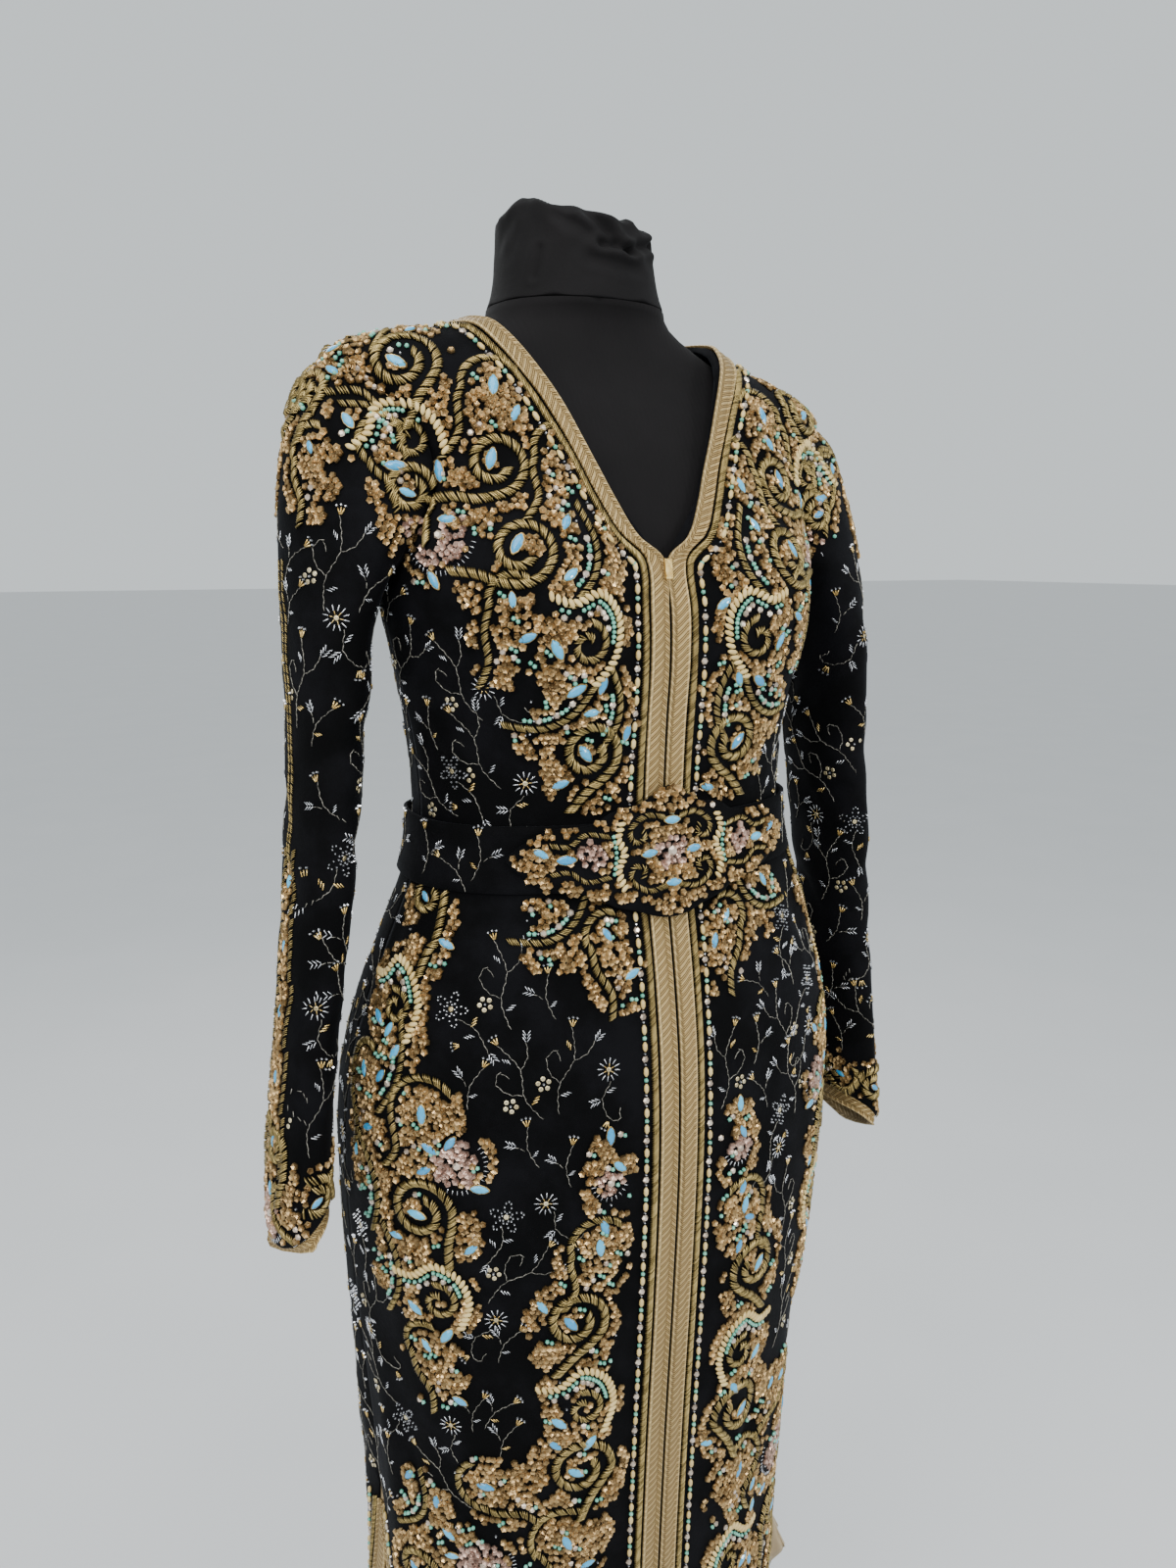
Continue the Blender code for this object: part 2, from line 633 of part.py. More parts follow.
def front_share(row, column):
    """A front column's share of the panel's width. The first column is as wide as the braid."""
    if row > FRONT_ROWS:
        up = (row - FRONT_ROWS) / FRONT_YOKE_ROWS
        probe = 0.10
        edge = plain_body(*yoke_place(0.0, up, True))
        inside = plain_body(*yoke_place(probe, up, True))
        first = FRONT_BAND_WIDE * probe / (inside - edge).length
    else:
        z = HEM_Z + (CHEST_Z - HEM_Z) * row / FRONT_ROWS
        first = FRONT_BAND_WIDE / (quarter_length(z) - slit_half_width(z))
    if column <= 1:
        return first * column
    return first + (1 - first) * (column - 1) / (FRONT_COLUMNS - 1)


def back_share(column):
    """A back column's share of the half width. One column ends a braid's width down the
    shoulder seam."""
    corner = NAPE_SHARE + 0.07
    if column <= NAPE_COLUMNS:
        return NAPE_SHARE * column / NAPE_COLUMNS
    return corner + (1 - corner) * (column - NAPE_COLUMNS - 1) / (BACK_COLUMNS - NAPE_COLUMNS - 1)


def panel_points(side, front):
    """The velvet's outer points and outward directions over half the body's front or back."""
    rows = FRONT_ROWS if front else BACK_ROWS
    yoke_rows = FRONT_YOKE_ROWS if front else BACK_YOKE_ROWS
    columns = FRONT_COLUMNS if front else BACK_COLUMNS
    grid = []
    for row in range(rows + yoke_rows + 1):
        line = []
        for column in range(columns + 1):
            share = front_share(row, column) if front else back_share(column)
            share = min(max(share, SEAM_SHARE if front else 0.0), 1 - SEAM_SHARE)
            turn, z = panel_place(share, row, rows, yoke_rows, front)
            point, normal = skin(side * turn, z)
            if row == rows + yoke_rows and abs(turn - math.pi / 2) < 1e-4:
                point = point + Vector((0, -SEAM_GAP / 2 if front else SEAM_GAP / 2, 0))
            line.append((point, normal, turn))
        grid.append(line)
    return grid


def panel_grids(side, front, patches):
    """The outer and inner points of a panel's half, with the applique raised on the outer."""
    anchors = body_anchors(patches, side)
    grid = panel_points(side, front)
    last_row, last_column = len(grid) - 1, len(grid[0]) - 1
    outer = []
    for r, line in enumerate(grid):
        raised = []
        for c, (point, normal, turn) in enumerate(line):
            plain = r in (0, last_row) or c == last_column or (front and c <= 1)
            plain = plain or (not front and r == last_row - 1 and c <= NAPE_COLUMNS + 1)
            if not plain and not under_trim(point, turn, point.z):
                point = point + normal * patch_rise(point, patches, anchors)
            raised.append(point)
        outer.append(raised)
    inner = [[point - normal * VELVET for point, normal, _ in line] for line in grid]
    return outer, inner


def front_panels():
    for side, name in ((-1, "front_panel_right"), (1, "front_panel_left")):
        cloth_wall(name, *panel_grids(side, True, FRONT_APPLIQUE), black_velvet(), thin_rows=True)


def back_panel():
    """One piece with no seam down the middle: the right half in reverse, then the left."""
    right, left = (panel_grids(side, False, BACK_APPLIQUE) for side in (-1, 1))
    outer, inner = (
        [list(reversed(a))[:-1] + b for a, b in zip(right[k], left[k])] for k in (0, 1)
    )
    cloth_wall("back_panel", outer, inner, black_velvet(), thin_rows=True)


def lay_on(points, lift, thick):
    """The outer and inner points of a trim that lies on a panel, made from its points."""
    outer = [[point + normal * (lift + thick) for point, normal, _ in line] for line in points]
    inner = [[point + normal * lift for point, normal, _ in line] for line in points]
    return outer, inner


def front_bands():
    """Gold braid up each front edge and round the V to the shoulder seam."""
    for side, name in ((-1, "front_band_right"), (1, "front_band_left")):
        edge = [line[:2] for line in panel_points(side, True)]
        cloth_wall(name, *lay_on(edge, SEAM_GAP, BRAID), gold_braid())


def back_neck_band():
    """The braid goes on round the back of the neck between the shoulder seams."""
    right, left = (panel_points(side, False)[-2:] for side in (-1, 1))
    count = NAPE_COLUMNS + 2
    edge = [list(reversed(a[:count]))[:-1] + b[:count] for a, b in zip(right, left)]
    cloth_wall("back_neck_band", *lay_on(edge, SEAM_GAP, BRAID), gold_braid())


def sleeve_axis(z):
    places = [row.z for row in reversed(SLEEVE)]
    return {
        name: smooth_table(places, [getattr(row, name) for row in reversed(SLEEVE)], z)
        for name in SleeveSection._fields
    }


def sleeve_ring_point(angle, z, side):
    """The sleeve's outer face, with x measured outwards from the body's middle: angle 0 is its
    outer side, and pi / 2 its front. The left sleeve hangs lower with its shoulder."""
    row = sleeve_axis(z)
    x = row["left_x" if side > 0 else "right_x"] + row["half_wide"] * math.cos(angle)
    drop = DROOP if side > 0 else 0.0
    return Vector((x, row["y"] - row["half_deep"] * math.sin(angle), z - drop))


def cuff_z(angle):
    """The cuff's edge dips to a point over the back of the hand."""
    return CUFF_Z - CUFF_POINT * (0.5 + 0.5 * math.cos(angle)) ** 1.5


def armhole_seat(angle, side):
    """Where the sleeve stands on the armhole's edge, with the way out of the body there and the
    way from the armhole's middle to its edge, all with x measured outwards."""
    angle = math.remainder(angle, 2 * math.pi)
    turn, z = armhole(abs(angle) / math.pi, angle >= 0)
    edge, normal = (Vector((side * v.x, v.y, v.z)) for v in skin(side * turn, z))
    drop = DROOP / 2 if side > 0 else 0.0
    middle = Vector((edge.x, section(ARMHOLE_MIDDLE_Z)["centre"], ARMHOLE_MIDDLE_Z - drop))
    away = edge - middle
    away = (away - normal * away.dot(normal)).normalized()
    return edge + normal * SEAM_GAP - away * SEAM_GAP * 0.5, normal, away


def cap_point(angle, share, side):
    """The sleeve head, from the armhole to the first level section."""
    start = armhole_seat(angle, side)[0]
    low = 0.5 - 0.5 * math.cos(angle)
    out = Vector((1.0, -0.30 * math.sin(angle), -0.10 - 0.15 * low)).normalized()
    reach = CAP_REACH_TOP + (CAP_REACH_LOW - CAP_REACH_TOP) * low
    end = sleeve_ring_point(angle, SLEEVE[0].z, side)
    fall = Vector((0, 0, -1.25 * reach))
    cube, square = share**3, share**2
    return (
        start * (2 * cube - 3 * square + 1)
        + out * reach * (cube - 2 * square + share)
        + end * (3 * square - 2 * cube)
        + fall * (cube - square)
    )


def armhole_angles():
    """The sleeve's angles, from the shoulder down the front and up the back, at the points that
    the front and the back have on the armhole."""
    angles = []
    for front, rows in ((True, FRONT_YOKE_ROWS), (False, BACK_YOKE_ROWS)):
        for row in range(rows, -1, -1):
            start = FRONT_ROWS if front else BACK_ROWS
            z = panel_place(1.0, start + row, start, rows, front)[1] if row else UNDERARM_Z
            level = (z - ARMHOLE_MIDDLE_Z) / ARMHOLE_HALF_HIGH
            angle = math.acos(min(1.0, max(-1.0, level)))
            angles.append(angle if front else 2 * math.pi - angle)
    return angles[: FRONT_YOKE_ROWS + 1] + sorted(angles[FRONT_YOKE_ROWS + 2 : -1])


def sleeve_place(angle, row, side):
    """A point of a sleeve's plain outer face on a row, from the armhole down."""
    if row <= SLEEVE_CAP_ROWS:
        return cap_point(angle, row / SLEEVE_CAP_ROWS, side)
    share = (row - SLEEVE_CAP_ROWS) / SLEEVE_ROWS
    top = SLEEVE[0].z
    return sleeve_ring_point(angle, top + (cuff_z(angle) - top) * share, side)


def crease_rise(angle, below):
    """Soft creases that lie slantwise across the empty sleeve."""
    rise = 0.0
    around = math.remainder(angle, 2 * math.pi) / (2 * math.pi) % 1.0
    for row in SLEEVE_CREASES:
        offset = abs(around - row.around)
        offset = min(offset, 1 - offset)
        slant = below - row.below - 0.05 * (around - row.around)
        rise -= row.depth * bump(offset, row.wide) * bump(slant, row.length)
    return rise


def sleeve_points(side):
    """The sleeve's outer points and outward directions, row by row from the armhole."""
    total = SLEEVE_CAP_ROWS + SLEEVE_ROWS
    angles = armhole_angles()
    rows = [[sleeve_place(a, r, side) for a in angles] for r in range(total + 1)]
    outer, normals = [], []
    for r, row in enumerate(rows):
        low, high = rows[max(r - 1, 0)], rows[min(r + 1, total)]
        out_row, normal_row = [], []
        for k, angle in enumerate(angles):
            along = high[k] - low[k]
            around = row[(k + 1) % len(angles)] - row[k - 1]
            normal = along.cross(around).normalized()
            if r == 0:
                normal = armhole_seat(angle, side)[2]
            if r == total:
                normal = Vector((normal.x, normal.y, 0)).normalized()
            below = SHOULDER_TIP_Z - row[k].z
            rise = crease_rise(angle, below) if 0 < r < total else 0.0
            out_row.append(row[k] + normal * rise)
            normal_row.append(normal)
        outer.append(out_row)
        normals.append(normal_row)
    if side < 0:
        outer = [[Vector((-p.x, p.y, p.z)) for p in row] for row in outer]
        normals = [[Vector((-n.x, n.y, n.z)) for n in row] for row in normals]
    return angles, outer, normals


def sleeve_applique_rise(angle, point):
    """Applique over the sleeve head and down the outer side to the cuff."""
    below = SHOULDER_TIP_Z - point.z
    wrapped = math.remainder(angle, 2 * math.pi)
    round_it = wrapped * 0.045
    rise = 0.0
    for row in SLEEVE_APPLIQUE:
        along = (below - row.z) / row.half_length
        beside = (round_it - math.radians(row.round) * 0.045) / row.half_width
        reach = math.hypot(along, beside)
        rise = max(rise, patch_height(reach))
    return rise


def sleeves():
    for side, name in ((-1, "sleeve_right"), (1, "sleeve_left")):
        angles, points, normals = sleeve_points(side)
        last = len(points) - 1
        outer, inner = [], []
        for r, (row, directions) in enumerate(zip(points, normals)):
            flat = r in (0, last)
            outer.append(
                [
                    p + n * (0.0 if flat else sleeve_applique_rise(a, p))
                    for a, p, n in zip(angles, row, directions)
                ]
            )
            inner.append([p - n * VELVET for p, n in zip(row, directions)])
        cloth_wall(name, outer, inner, black_velvet(), closed=True, thin_rows=True)


def cuff_bands():
    """Gold braid round each cuff's pointed edge, just below the velvet."""
    for side, name in ((-1, "cuff_band_right"), (1, "cuff_band_left")):
        outer, inner = [], []
        for step in range(3):
            outer_row, inner_row = [], []
            for angle in armhole_angles():
                z = cuff_z(angle) - CUFF_GAP - CUFF_BRAID_HIGH * step / 2
                point = sleeve_ring_point(angle, z, side)
                row = sleeve_axis(z)
                across = math.cos(angle) * row["half_deep"]
                normal = Vector((across, -math.sin(angle) * row["half_wide"], 0)).normalized()
                here = [point + normal * 0.0006, point - normal * (VELVET - 0.0002)]
                if side < 0:
                    here = [Vector((-p.x, p.y, p.z)) for p in here]
                outer_row.append(here[0])
                inner_row.append(here[1])
            outer.append(outer_row)
            inner.append(inner_row)
        cloth_wall(name, outer, inner, gold_braid(), closed=True)


def belt_ease(turn):
    """How far the belt's back lies off the velvet: it rides over the two braids in front."""
    beside = abs(plain_body(turn, WAIST_Z).x) - FRONT_BAND_WIDE
    over = min(1.0, max(0.0, 1.3 - beside / 0.012)) if math.cos(turn) > 0 else 0.0
    return BELT_GAP + (SEAM_GAP + BRAID + BELT_OVER_BRAID - BELT_GAP) * over


def belt():
    """A velvet belt round the waist, joined under the plate."""
    steps = 54
    opening = math.radians(6)
    outer, inner = [], []
    for height in (-0.5, 0.0, 0.5):
        outer_row, inner_row = [], []
        for k in range(steps + 1):
            turn = opening + (2 * math.pi - 2 * opening) * k / steps
            z = WAIST_Z + BELT_HIGH * height
            point, normal = skin(math.remainder(turn, 2 * math.pi), z)
            level = Vector((normal.x, normal.y, 0)).normalized()
            waist_skin = skin(math.remainder(turn, 2 * math.pi), WAIST_Z)[0]
            flare = max(0.0, (point - waist_skin).dot(level))
            base = Vector((waist_skin.x, waist_skin.y, z)) + level * (flare + belt_ease(turn))
            outer_row.append(base + level * VELVET)
            inner_row.append(base)
        outer.append(outer_row)
        inner.append(inner_row)
    cloth_wall("belt", outer, inner, black_velvet())


def plate_place(share, height):
    """A point in front of the belt, a share of the plate's half width from its middle."""
    z = WAIST_Z + height
    distance = abs(share) * PLATE_HALF_WIDE
    turn = math.copysign(turn_at(WAIST_Z, distance), share)
    at_waist = skin(turn, WAIST_Z)
    level = Vector((at_waist[1].x, at_waist[1].y, 0)).normalized()
    flare = max(0.0, (skin(turn, z)[0] - at_waist[0]).dot(level))
    ease = SEAM_GAP + BRAID + BELT_OVER_BRAID + VELVET + PLATE_GAP
    return Vector((at_waist[0].x, at_waist[0].y, z)) + level * (flare + ease), level


def belt_plate():
    """The shaped plate in front, stiffened velvet with a raised beaded middle."""
    columns, rows = 26, 6
    outer, inner = [], []
    for r in range(rows + 1):
        outer_row, inner_row = [], []
        for c in range(columns + 1):
            share = 2 * c / columns - 1
            above = smooth_table(PLATE_SHARES, PLATE_ABOVE, abs(share))
            below = smooth_table(PLATE_SHARES, PLATE_BELOW, abs(share))
            height = -below + (above + below) * r / rows
            base, level = plate_place(share, height)
            border = r in (0, rows) or c in (0, columns)
            rise = 0.0 if border else APPLIQUE_RISE
            outer_row.append(base + level * (PLATE_THICK * 0.5 + rise))
            inner_row.append(base)
        outer.append(outer_row)
        inner.append(inner_row)
    cloth_wall("belt_plate", outer, inner, black_velvet(), thin_rows=True)


def slit_band_edges(z, front, side):
    """The braid's two edges at a slit, beside the velvet and towards the side line, with the
    way out of the body there."""
    velvet_edge = quarter_length(z, front) - slit_half_width(z)
    edges = []
    for further in (SEAM_GAP, min(SLIT_BRAID_WIDE, slit_half_width(z) - SEAM_GAP)):
        point, normal = skin(side * turn_at(z, velvet_edge + further, front), z)
        edges.append(point)
    return edges[0], edges[1], normal


def slit_bands():
    """Gold braid along both edges of each side slit, as wide as the slit lets it be."""
    steps = 12
    for side, side_name in ((-1, "right"), (1, "left")):
        for front, name in ((True, "front"), (False, "back")):
            outer, inner = [], []
            for k in range(steps + 1):
                z = HEM_Z + (SLIT_TOP_Z - 0.026 - HEM_Z) * k / steps
                *edges, normal = slit_band_edges(z, front, side)
                outer.append([point + normal * SLIT_BAND_PROUD for point in edges])
                inner.append([point + normal * (SLIT_BAND_PROUD - BRAID) for point in edges])
            cloth_wall(f"slit_band_{name}_{side_name}", outer, inner, gold_braid())


def godet_hem(z, front, side):
    """The satin's edge behind the braid, and the place just past the braid's free edge."""
    start, end, normal = slit_band_edges(z, front, side)
    behind = normal * -GODET_TUCK
    return start.lerp(end, 0.6) + behind, start.lerp(end, 1.12) + behind


def godet_point(column, columns, z, side):
    """A point of the pleated satin. Its edges are flat behind the two braids, and between them
    it bows out, more towards the hem."""
    front_edge, front_free = godet_hem(z, True, side)
    back_edge, back_free = godet_hem(z, False, side)
    if column in (0, columns):
        return front_edge if column == 0 else back_edge
    free = (column - 1) / (columns - 2)
    drop = (GODET_TOP_Z - z) / (GODET_TOP_Z - HEM_Z)
    arch = math.sin(math.pi * free)
    bow = GODET_REACH * drop**1.25 * arch**0.8
    pleat = GODET_PLEAT_DEEP * drop * math.sin(2 * math.pi * GODET_PLEATS * free) * arch**0.5
    spread = 0.55 * bow * (2 * free - 1)
    return front_free.lerp(back_free, free) + Vector((side * (bow + pleat), spread, 0))


def godets():
    """Pleated gold satin let into each side slit."""
    columns, rows = 22, 5
    low = HEM_Z + 0.004
    for side, name in ((-1, "godet_right"), (1, "godet_left")):
        outer, inner = [], []
        for r in range(rows + 1):
            z = low + (GODET_TOP_Z - low) * r / rows
            line = [godet_point(c, columns, z, side) for c in range(columns + 1)]
            ways = []
            for c in range(columns + 1):
                ahead = line[min(c + 1, columns)] - line[max(c - 1, 0)]
                normal = ahead.cross(Vector((0, 0, 1))).normalized()
                ways.append(normal if normal.x * side > 0 else -normal)
            outer.append([point + way * SATIN / 2 for point, way in zip(line, ways)])
            inner.append([point - way * SATIN / 2 for point, way in zip(line, ways)])
        cloth_wall(name, outer, inner, gold_satin())


def neck_hook():
    """The little gold bar hook that closes the front at the foot of the V."""
    foot, normal = skin(0.0, CHEST_Z - 0.006)
    hook = bmesh.new()
    bmesh.ops.create_cube(hook, size=1.0)
    bmesh.ops.scale(hook, vec=(0.006, 0.0022, 0.014), verts=hook.verts)
    bmesh.ops.bevel(
        hook, geom=list(hook.edges), offset=0.0006, segments=2, affect="EDGES", profile=0.5
    )
    mesh = bpy.data.meshes.new("neck_hook")
    hook.to_mesh(mesh)
    hook.free()
    piece = link("neck_hook", mesh, surface_look("hook_gold", (0.70, 0.52, 0.22), 0.25, 1.0))
    piece.location = foot + normal * (SEAM_GAP * 2 + BRAID + 0.0009)
    piece.rotation_euler = (math.asin(-normal.z), 0, 0)


def form_body():
    """The padded torso of the dress form, closed below, up to the seam of its neck."""
    around = 24
    heights = [FORM_BOTTOM_Z + 0.004]
    heights += [0.86, 0.93, 0.99, 1.047, 1.11, 1.165, 1.222, 1.27, 1.315, 1.35, 1.370, 1.385]
    heights += [1.396, 1.408, NAPE_Z + 0.003, FORM_NECK_SEAM_Z - SEAM_GAP]
    torso = bmesh.new()
    rings = []
    for z in heights:
        ring = []
        for k in range(around):
            turn = 2 * math.pi * (k + 0.5) / around
            point, normal = plain_body(turn, z), plain_normal(turn, z)
            inset = -FORM_SWELL * swell(point)
            if z < heights[-1]:
                inset += VELVET + FORM_GAP + SHOULDER_EASE * bump(z - SHOULDER_TIP_Z, 0.03)
            spot = point - normal * inset
            spot.z = z if z == heights[-1] else min(spot.z, heights[-1] - 0.004)
            ring.append(torso.verts.new(settled(spot)))
        rings.append(ring)
    for low, high in zip(rings, rings[1:]):
        for k in range(around):
            torso.faces.new((low[k], low[k - 1], high[k - 1], high[k]))
    torso.faces.new(rings[0])
    torso.faces.new(rings[-1])
    bmesh.ops.recalc_face_normals(torso, faces=torso.faces)
    mesh = bpy.data.meshes.new("form_torso")
    torso.to_mesh(mesh)
    torso.free()
    link("form_torso", mesh, black_jersey())


def form_neck():
    """The covered neck block, with its cover gathered off-centre on top."""
    around = 24
    heights = [FORM_NECK_SEAM_Z, 1.434, 1.447, 1.461, 1.476, 1.488]
    neck = bmesh.new()
    rings = []

    def top_drop(turn):
        """The top slopes down towards the wearer's left, where the cover is knotted."""
        return 0.0055 * (1 - math.cos(turn - math.radians(-70)))

    for z in heights:
        ring = []
        share = (z - heights[0]) / (heights[-1] - heights[0])
        for k in range(around):
            turn = 2 * math.pi * (k + 0.5) / around
            spot = plain_body(turn, z)
            spot.z -= top_drop(turn) * share**2
            ring.append(neck.verts.new(spot))
        rings.append(ring)
    row = section(1.492)
    for shrink, lift in ((0.88, 0.0045), (0.60, 0.0066), (0.28, 0.0052)):
        ring = []
        for k in range(around):
            turn = 2 * math.pi * (k + 0.5) / around
            edge = plain_body(turn, heights[-1])
            ruck = 0.0018 * math.sin(5 * turn + 4 * shrink) * (1 - abs(shrink - 0.6))
            middle = Vector((0.0, row["centre"], 0))
            spot = middle.lerp(Vector((edge.x, edge.y, 0)), shrink)
            spot.z = heights[-1] - top_drop(turn) * (0.3 + 0.7 * shrink) + lift + ruck
            ring.append(neck.verts.new(spot))
        rings.append(ring)
    for low, high in zip(rings, rings[1:]):
        for k in range(around):
            neck.faces.new((low[k], low[k - 1], high[k - 1], high[k]))
    neck.faces.new(rings[0])
    neck.faces.new(rings[-1])
    bmesh.ops.recalc_face_normals(neck, faces=neck.faces)
    mesh = bpy.data.meshes.new("form_neck")
    neck.to_mesh(mesh)
    neck.free()
    link("form_neck", mesh, black_jersey())


def turned(name, profile, material, steps=32):
    """A round piece about the Z axis: profile is (radius, z) down its outer side."""
    outline = bmesh.new()
    points = [outline.verts.new((radius, 0, z)) for radius, z in profile]
    for a, b in zip(points, points[1:]):
        outline.edges.new((a, b))
    mesh = bpy.data.meshes.new(name)
    outline.to_mesh(mesh)
    outline.free()
    obj = bpy.data.objects.new(name, mesh)
    mesh.materials.append(material)
    FORM.objects.link(obj)
    screw = obj.modifiers.new("turn", "SCREW")
    screw.steps = steps
    screw.render_steps = steps
    screw.use_merge_vertices = True
    screw.merge_threshold = 0.0001
    screw.use_smooth_shade = True
    return obj


def stand():
    """A plain post and a flat round base under the form."""
    top = FORM_BOTTOM_Z + 0.004 - SEAM_GAP
    seat = BASE_THICKNESS + SEAM_GAP
    turned(
        "stand_post",
        [
            (0, top),
            (0.040, top),
            (0.040, top - 0.006),
            (POLE_RADIUS, top - 0.010),
            (POLE_RADIUS, seat + 0.034),
            (POLE_RADIUS + 0.009, seat + 0.030),
            (POLE_RADIUS + 0.012, seat),
            (0, seat),
        ],
        grey_metal(),
        steps=16,
    )
    lip = 0.002
    turned(
        "stand_base",
        [
            (0, BASE_THICKNESS),
            (BASE_RADIUS - lip, BASE_THICKNESS),
            (BASE_RADIUS - lip * 0.3, BASE_THICKNESS - lip * 0.3),
            (BASE_RADIUS, BASE_THICKNESS - lip),
            (BASE_RADIUS, 0),
            (0, 0),
        ],
        grey_metal(),
        steps=40,
    )


clear_scene()
bpy.context.scene.collection.children.link(FORM)
front_panels()
back_panel()
sleeves()
cuff_bands()
front_bands()
back_neck_band()
belt()
belt_plate()
slit_bands()
godets()
neck_hook()
form_body()
form_neck()
stand()
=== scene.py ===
import math
import random

import bmesh
import bpy
import numpy as np
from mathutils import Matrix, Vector, noise
from mathutils.bvhtree import BVHTree
from mathutils.kdtree import KDTree


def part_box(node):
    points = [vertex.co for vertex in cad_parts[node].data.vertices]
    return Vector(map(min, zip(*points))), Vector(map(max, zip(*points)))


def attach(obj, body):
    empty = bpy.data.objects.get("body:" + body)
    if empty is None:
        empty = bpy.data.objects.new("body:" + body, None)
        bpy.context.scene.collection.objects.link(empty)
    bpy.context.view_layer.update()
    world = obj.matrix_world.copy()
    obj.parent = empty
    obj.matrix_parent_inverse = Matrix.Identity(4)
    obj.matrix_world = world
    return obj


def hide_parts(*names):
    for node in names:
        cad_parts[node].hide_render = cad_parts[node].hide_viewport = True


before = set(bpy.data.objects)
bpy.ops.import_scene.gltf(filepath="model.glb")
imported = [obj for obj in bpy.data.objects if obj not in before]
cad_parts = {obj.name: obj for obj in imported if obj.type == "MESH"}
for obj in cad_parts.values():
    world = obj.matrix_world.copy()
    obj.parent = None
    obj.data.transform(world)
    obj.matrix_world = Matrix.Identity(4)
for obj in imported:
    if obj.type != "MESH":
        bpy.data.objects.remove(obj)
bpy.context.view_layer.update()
bpy.ops.object.select_all(action="DESELECT")

# The view: near the dress, in front of its right side and level with the chest. The camera is
# tipped down a little, so that the hem, the floor and the stand fall below the picture.
VIEW_TURN = math.radians(-28)
VIEW_TIP = math.radians(10.7)
VIEW_DISTANCE = 0.93
ahead = Vector((-math.sin(VIEW_TURN), math.cos(VIEW_TURN), 0))
bpy.ops.object.camera_add(
    location=Vector((0, 0.01, 1.25)) - ahead * VIEW_DISTANCE,
    rotation=(math.pi / 2 - VIEW_TIP, 0, VIEW_TURN),
)
camera = bpy.context.object
camera.data.lens = 27.9
camera.data.sensor_width = 36
camera.data.clip_start = 0.01
bpy.context.scene.camera = camera


# The room: a plain pale floor and soft white light from large panels overhead and to both
# sides, with two smaller ones that put a glint on the beads.
class Value:
    """A shader socket that Python's signs work on."""

    def __init__(self, finish, socket):
        self.finish = finish
        self.socket = socket

    def math(self, operation, *others):
        values = dict(enumerate((self, *others)))
        return self.finish.node("Math", {"operation": operation}, values)

    def __add__(self, other):
        return self.math("ADD", other)

    __radd__ = __add__

    def __mul__(self, other):
        return self.math("MULTIPLY", other)

    __rmul__ = __mul__

    def __sub__(self, other):
        return self.math("SUBTRACT", other)

    def __rsub__(self, other):
        return self.finish.node("Math", {"operation": "SUBTRACT"}, {0: other, 1: self})

    def sine(self):
        return self.math("SINE")

    def clipped(self):
        return self.finish.node("Clamp", {}, {0: self})

    def between(self, low, high):
        """0 at low and 1 at high, with a smooth run between them."""
        settings = {"interpolation_type": "SMOOTHSTEP"}
        return self.finish.node("MapRange", settings, {0: self, 1: low, 2: high})


class Finish:
    """A material that is being made. Its plain sockets are set by name."""

    def __init__(self, name, **plain):
        self.material = bpy.data.materials.new(name)
        self.material.use_nodes = True
        self.tree = self.material.node_tree
        self.shader = self.tree.nodes["Principled BSDF"]
        for socket, value in plain.items():
            self.shader.inputs[socket.replace("_", " ")].default_value = value

    def node(self, kind, settings, values, output=0):
        made = self.tree.nodes.new("ShaderNode" + kind)
        for name, value in settings.items():
            setattr(made, name, value)
        for key, value in values.items():
            if isinstance(value, Value):
                self.tree.links.new(value.socket, made.inputs[key])
            else:
                made.inputs[key].default_value = value
        return Value(self, made.outputs[output])

    def place(self):
        return self.node("TexCoord", {}, {}, "Object")

    def noise(self, scale, detail=2.0, vector=None, roughness=0.5):
        values = {"Scale": scale, "Detail": detail, "Roughness": roughness}
        values["Vector"] = vector or self.place()
        return self.node("TexNoise", {}, values)

    def colours(self, factor, first, second):
        """Two colours mixed; each is a colour or another mix."""
        ends = [c if isinstance(c, Value) else (*c, 1) for c in (first, second)]
        values = {0: factor, 6: ends[0], 7: ends[1]}
        return self.node("Mix", {"data_type": "RGBA"}, values, 2)

    def feed(self, socket, value):
        self.tree.links.new(value.socket, self.shader.inputs[socket])

    def bump(self, height, distance, strength=1.0):
        values = {"Height": height, "Distance": distance, "Strength": strength}
        self.feed("Normal", self.node("Bump", {}, values))


floor_look = Finish("floor_matt", Roughness=0.85)
floor_look.feed(
    "Base Color", floor_look.colours(floor_look.noise(3.0), (0.66, 0.67, 0.68), (0.71, 0.71, 0.72))
)
bpy.ops.mesh.primitive_plane_add(size=90)
floor = bpy.context.object
floor.name = "floor"
floor.data.materials.append(floor_look.material)


def panel_light(name, place, aim, size, power, colour=(1, 1, 1)):
    bpy.ops.object.light_add(type="AREA", location=place)
    light = bpy.context.object
    light.name = name
    light.rotation_euler = (Vector(aim) - Vector(place)).to_track_quat("-Z", "Y").to_euler()
    light.data.shape = "RECTANGLE"
    light.data.size, light.data.size_y = size
    light.data.energy = power
    light.data.color = colour


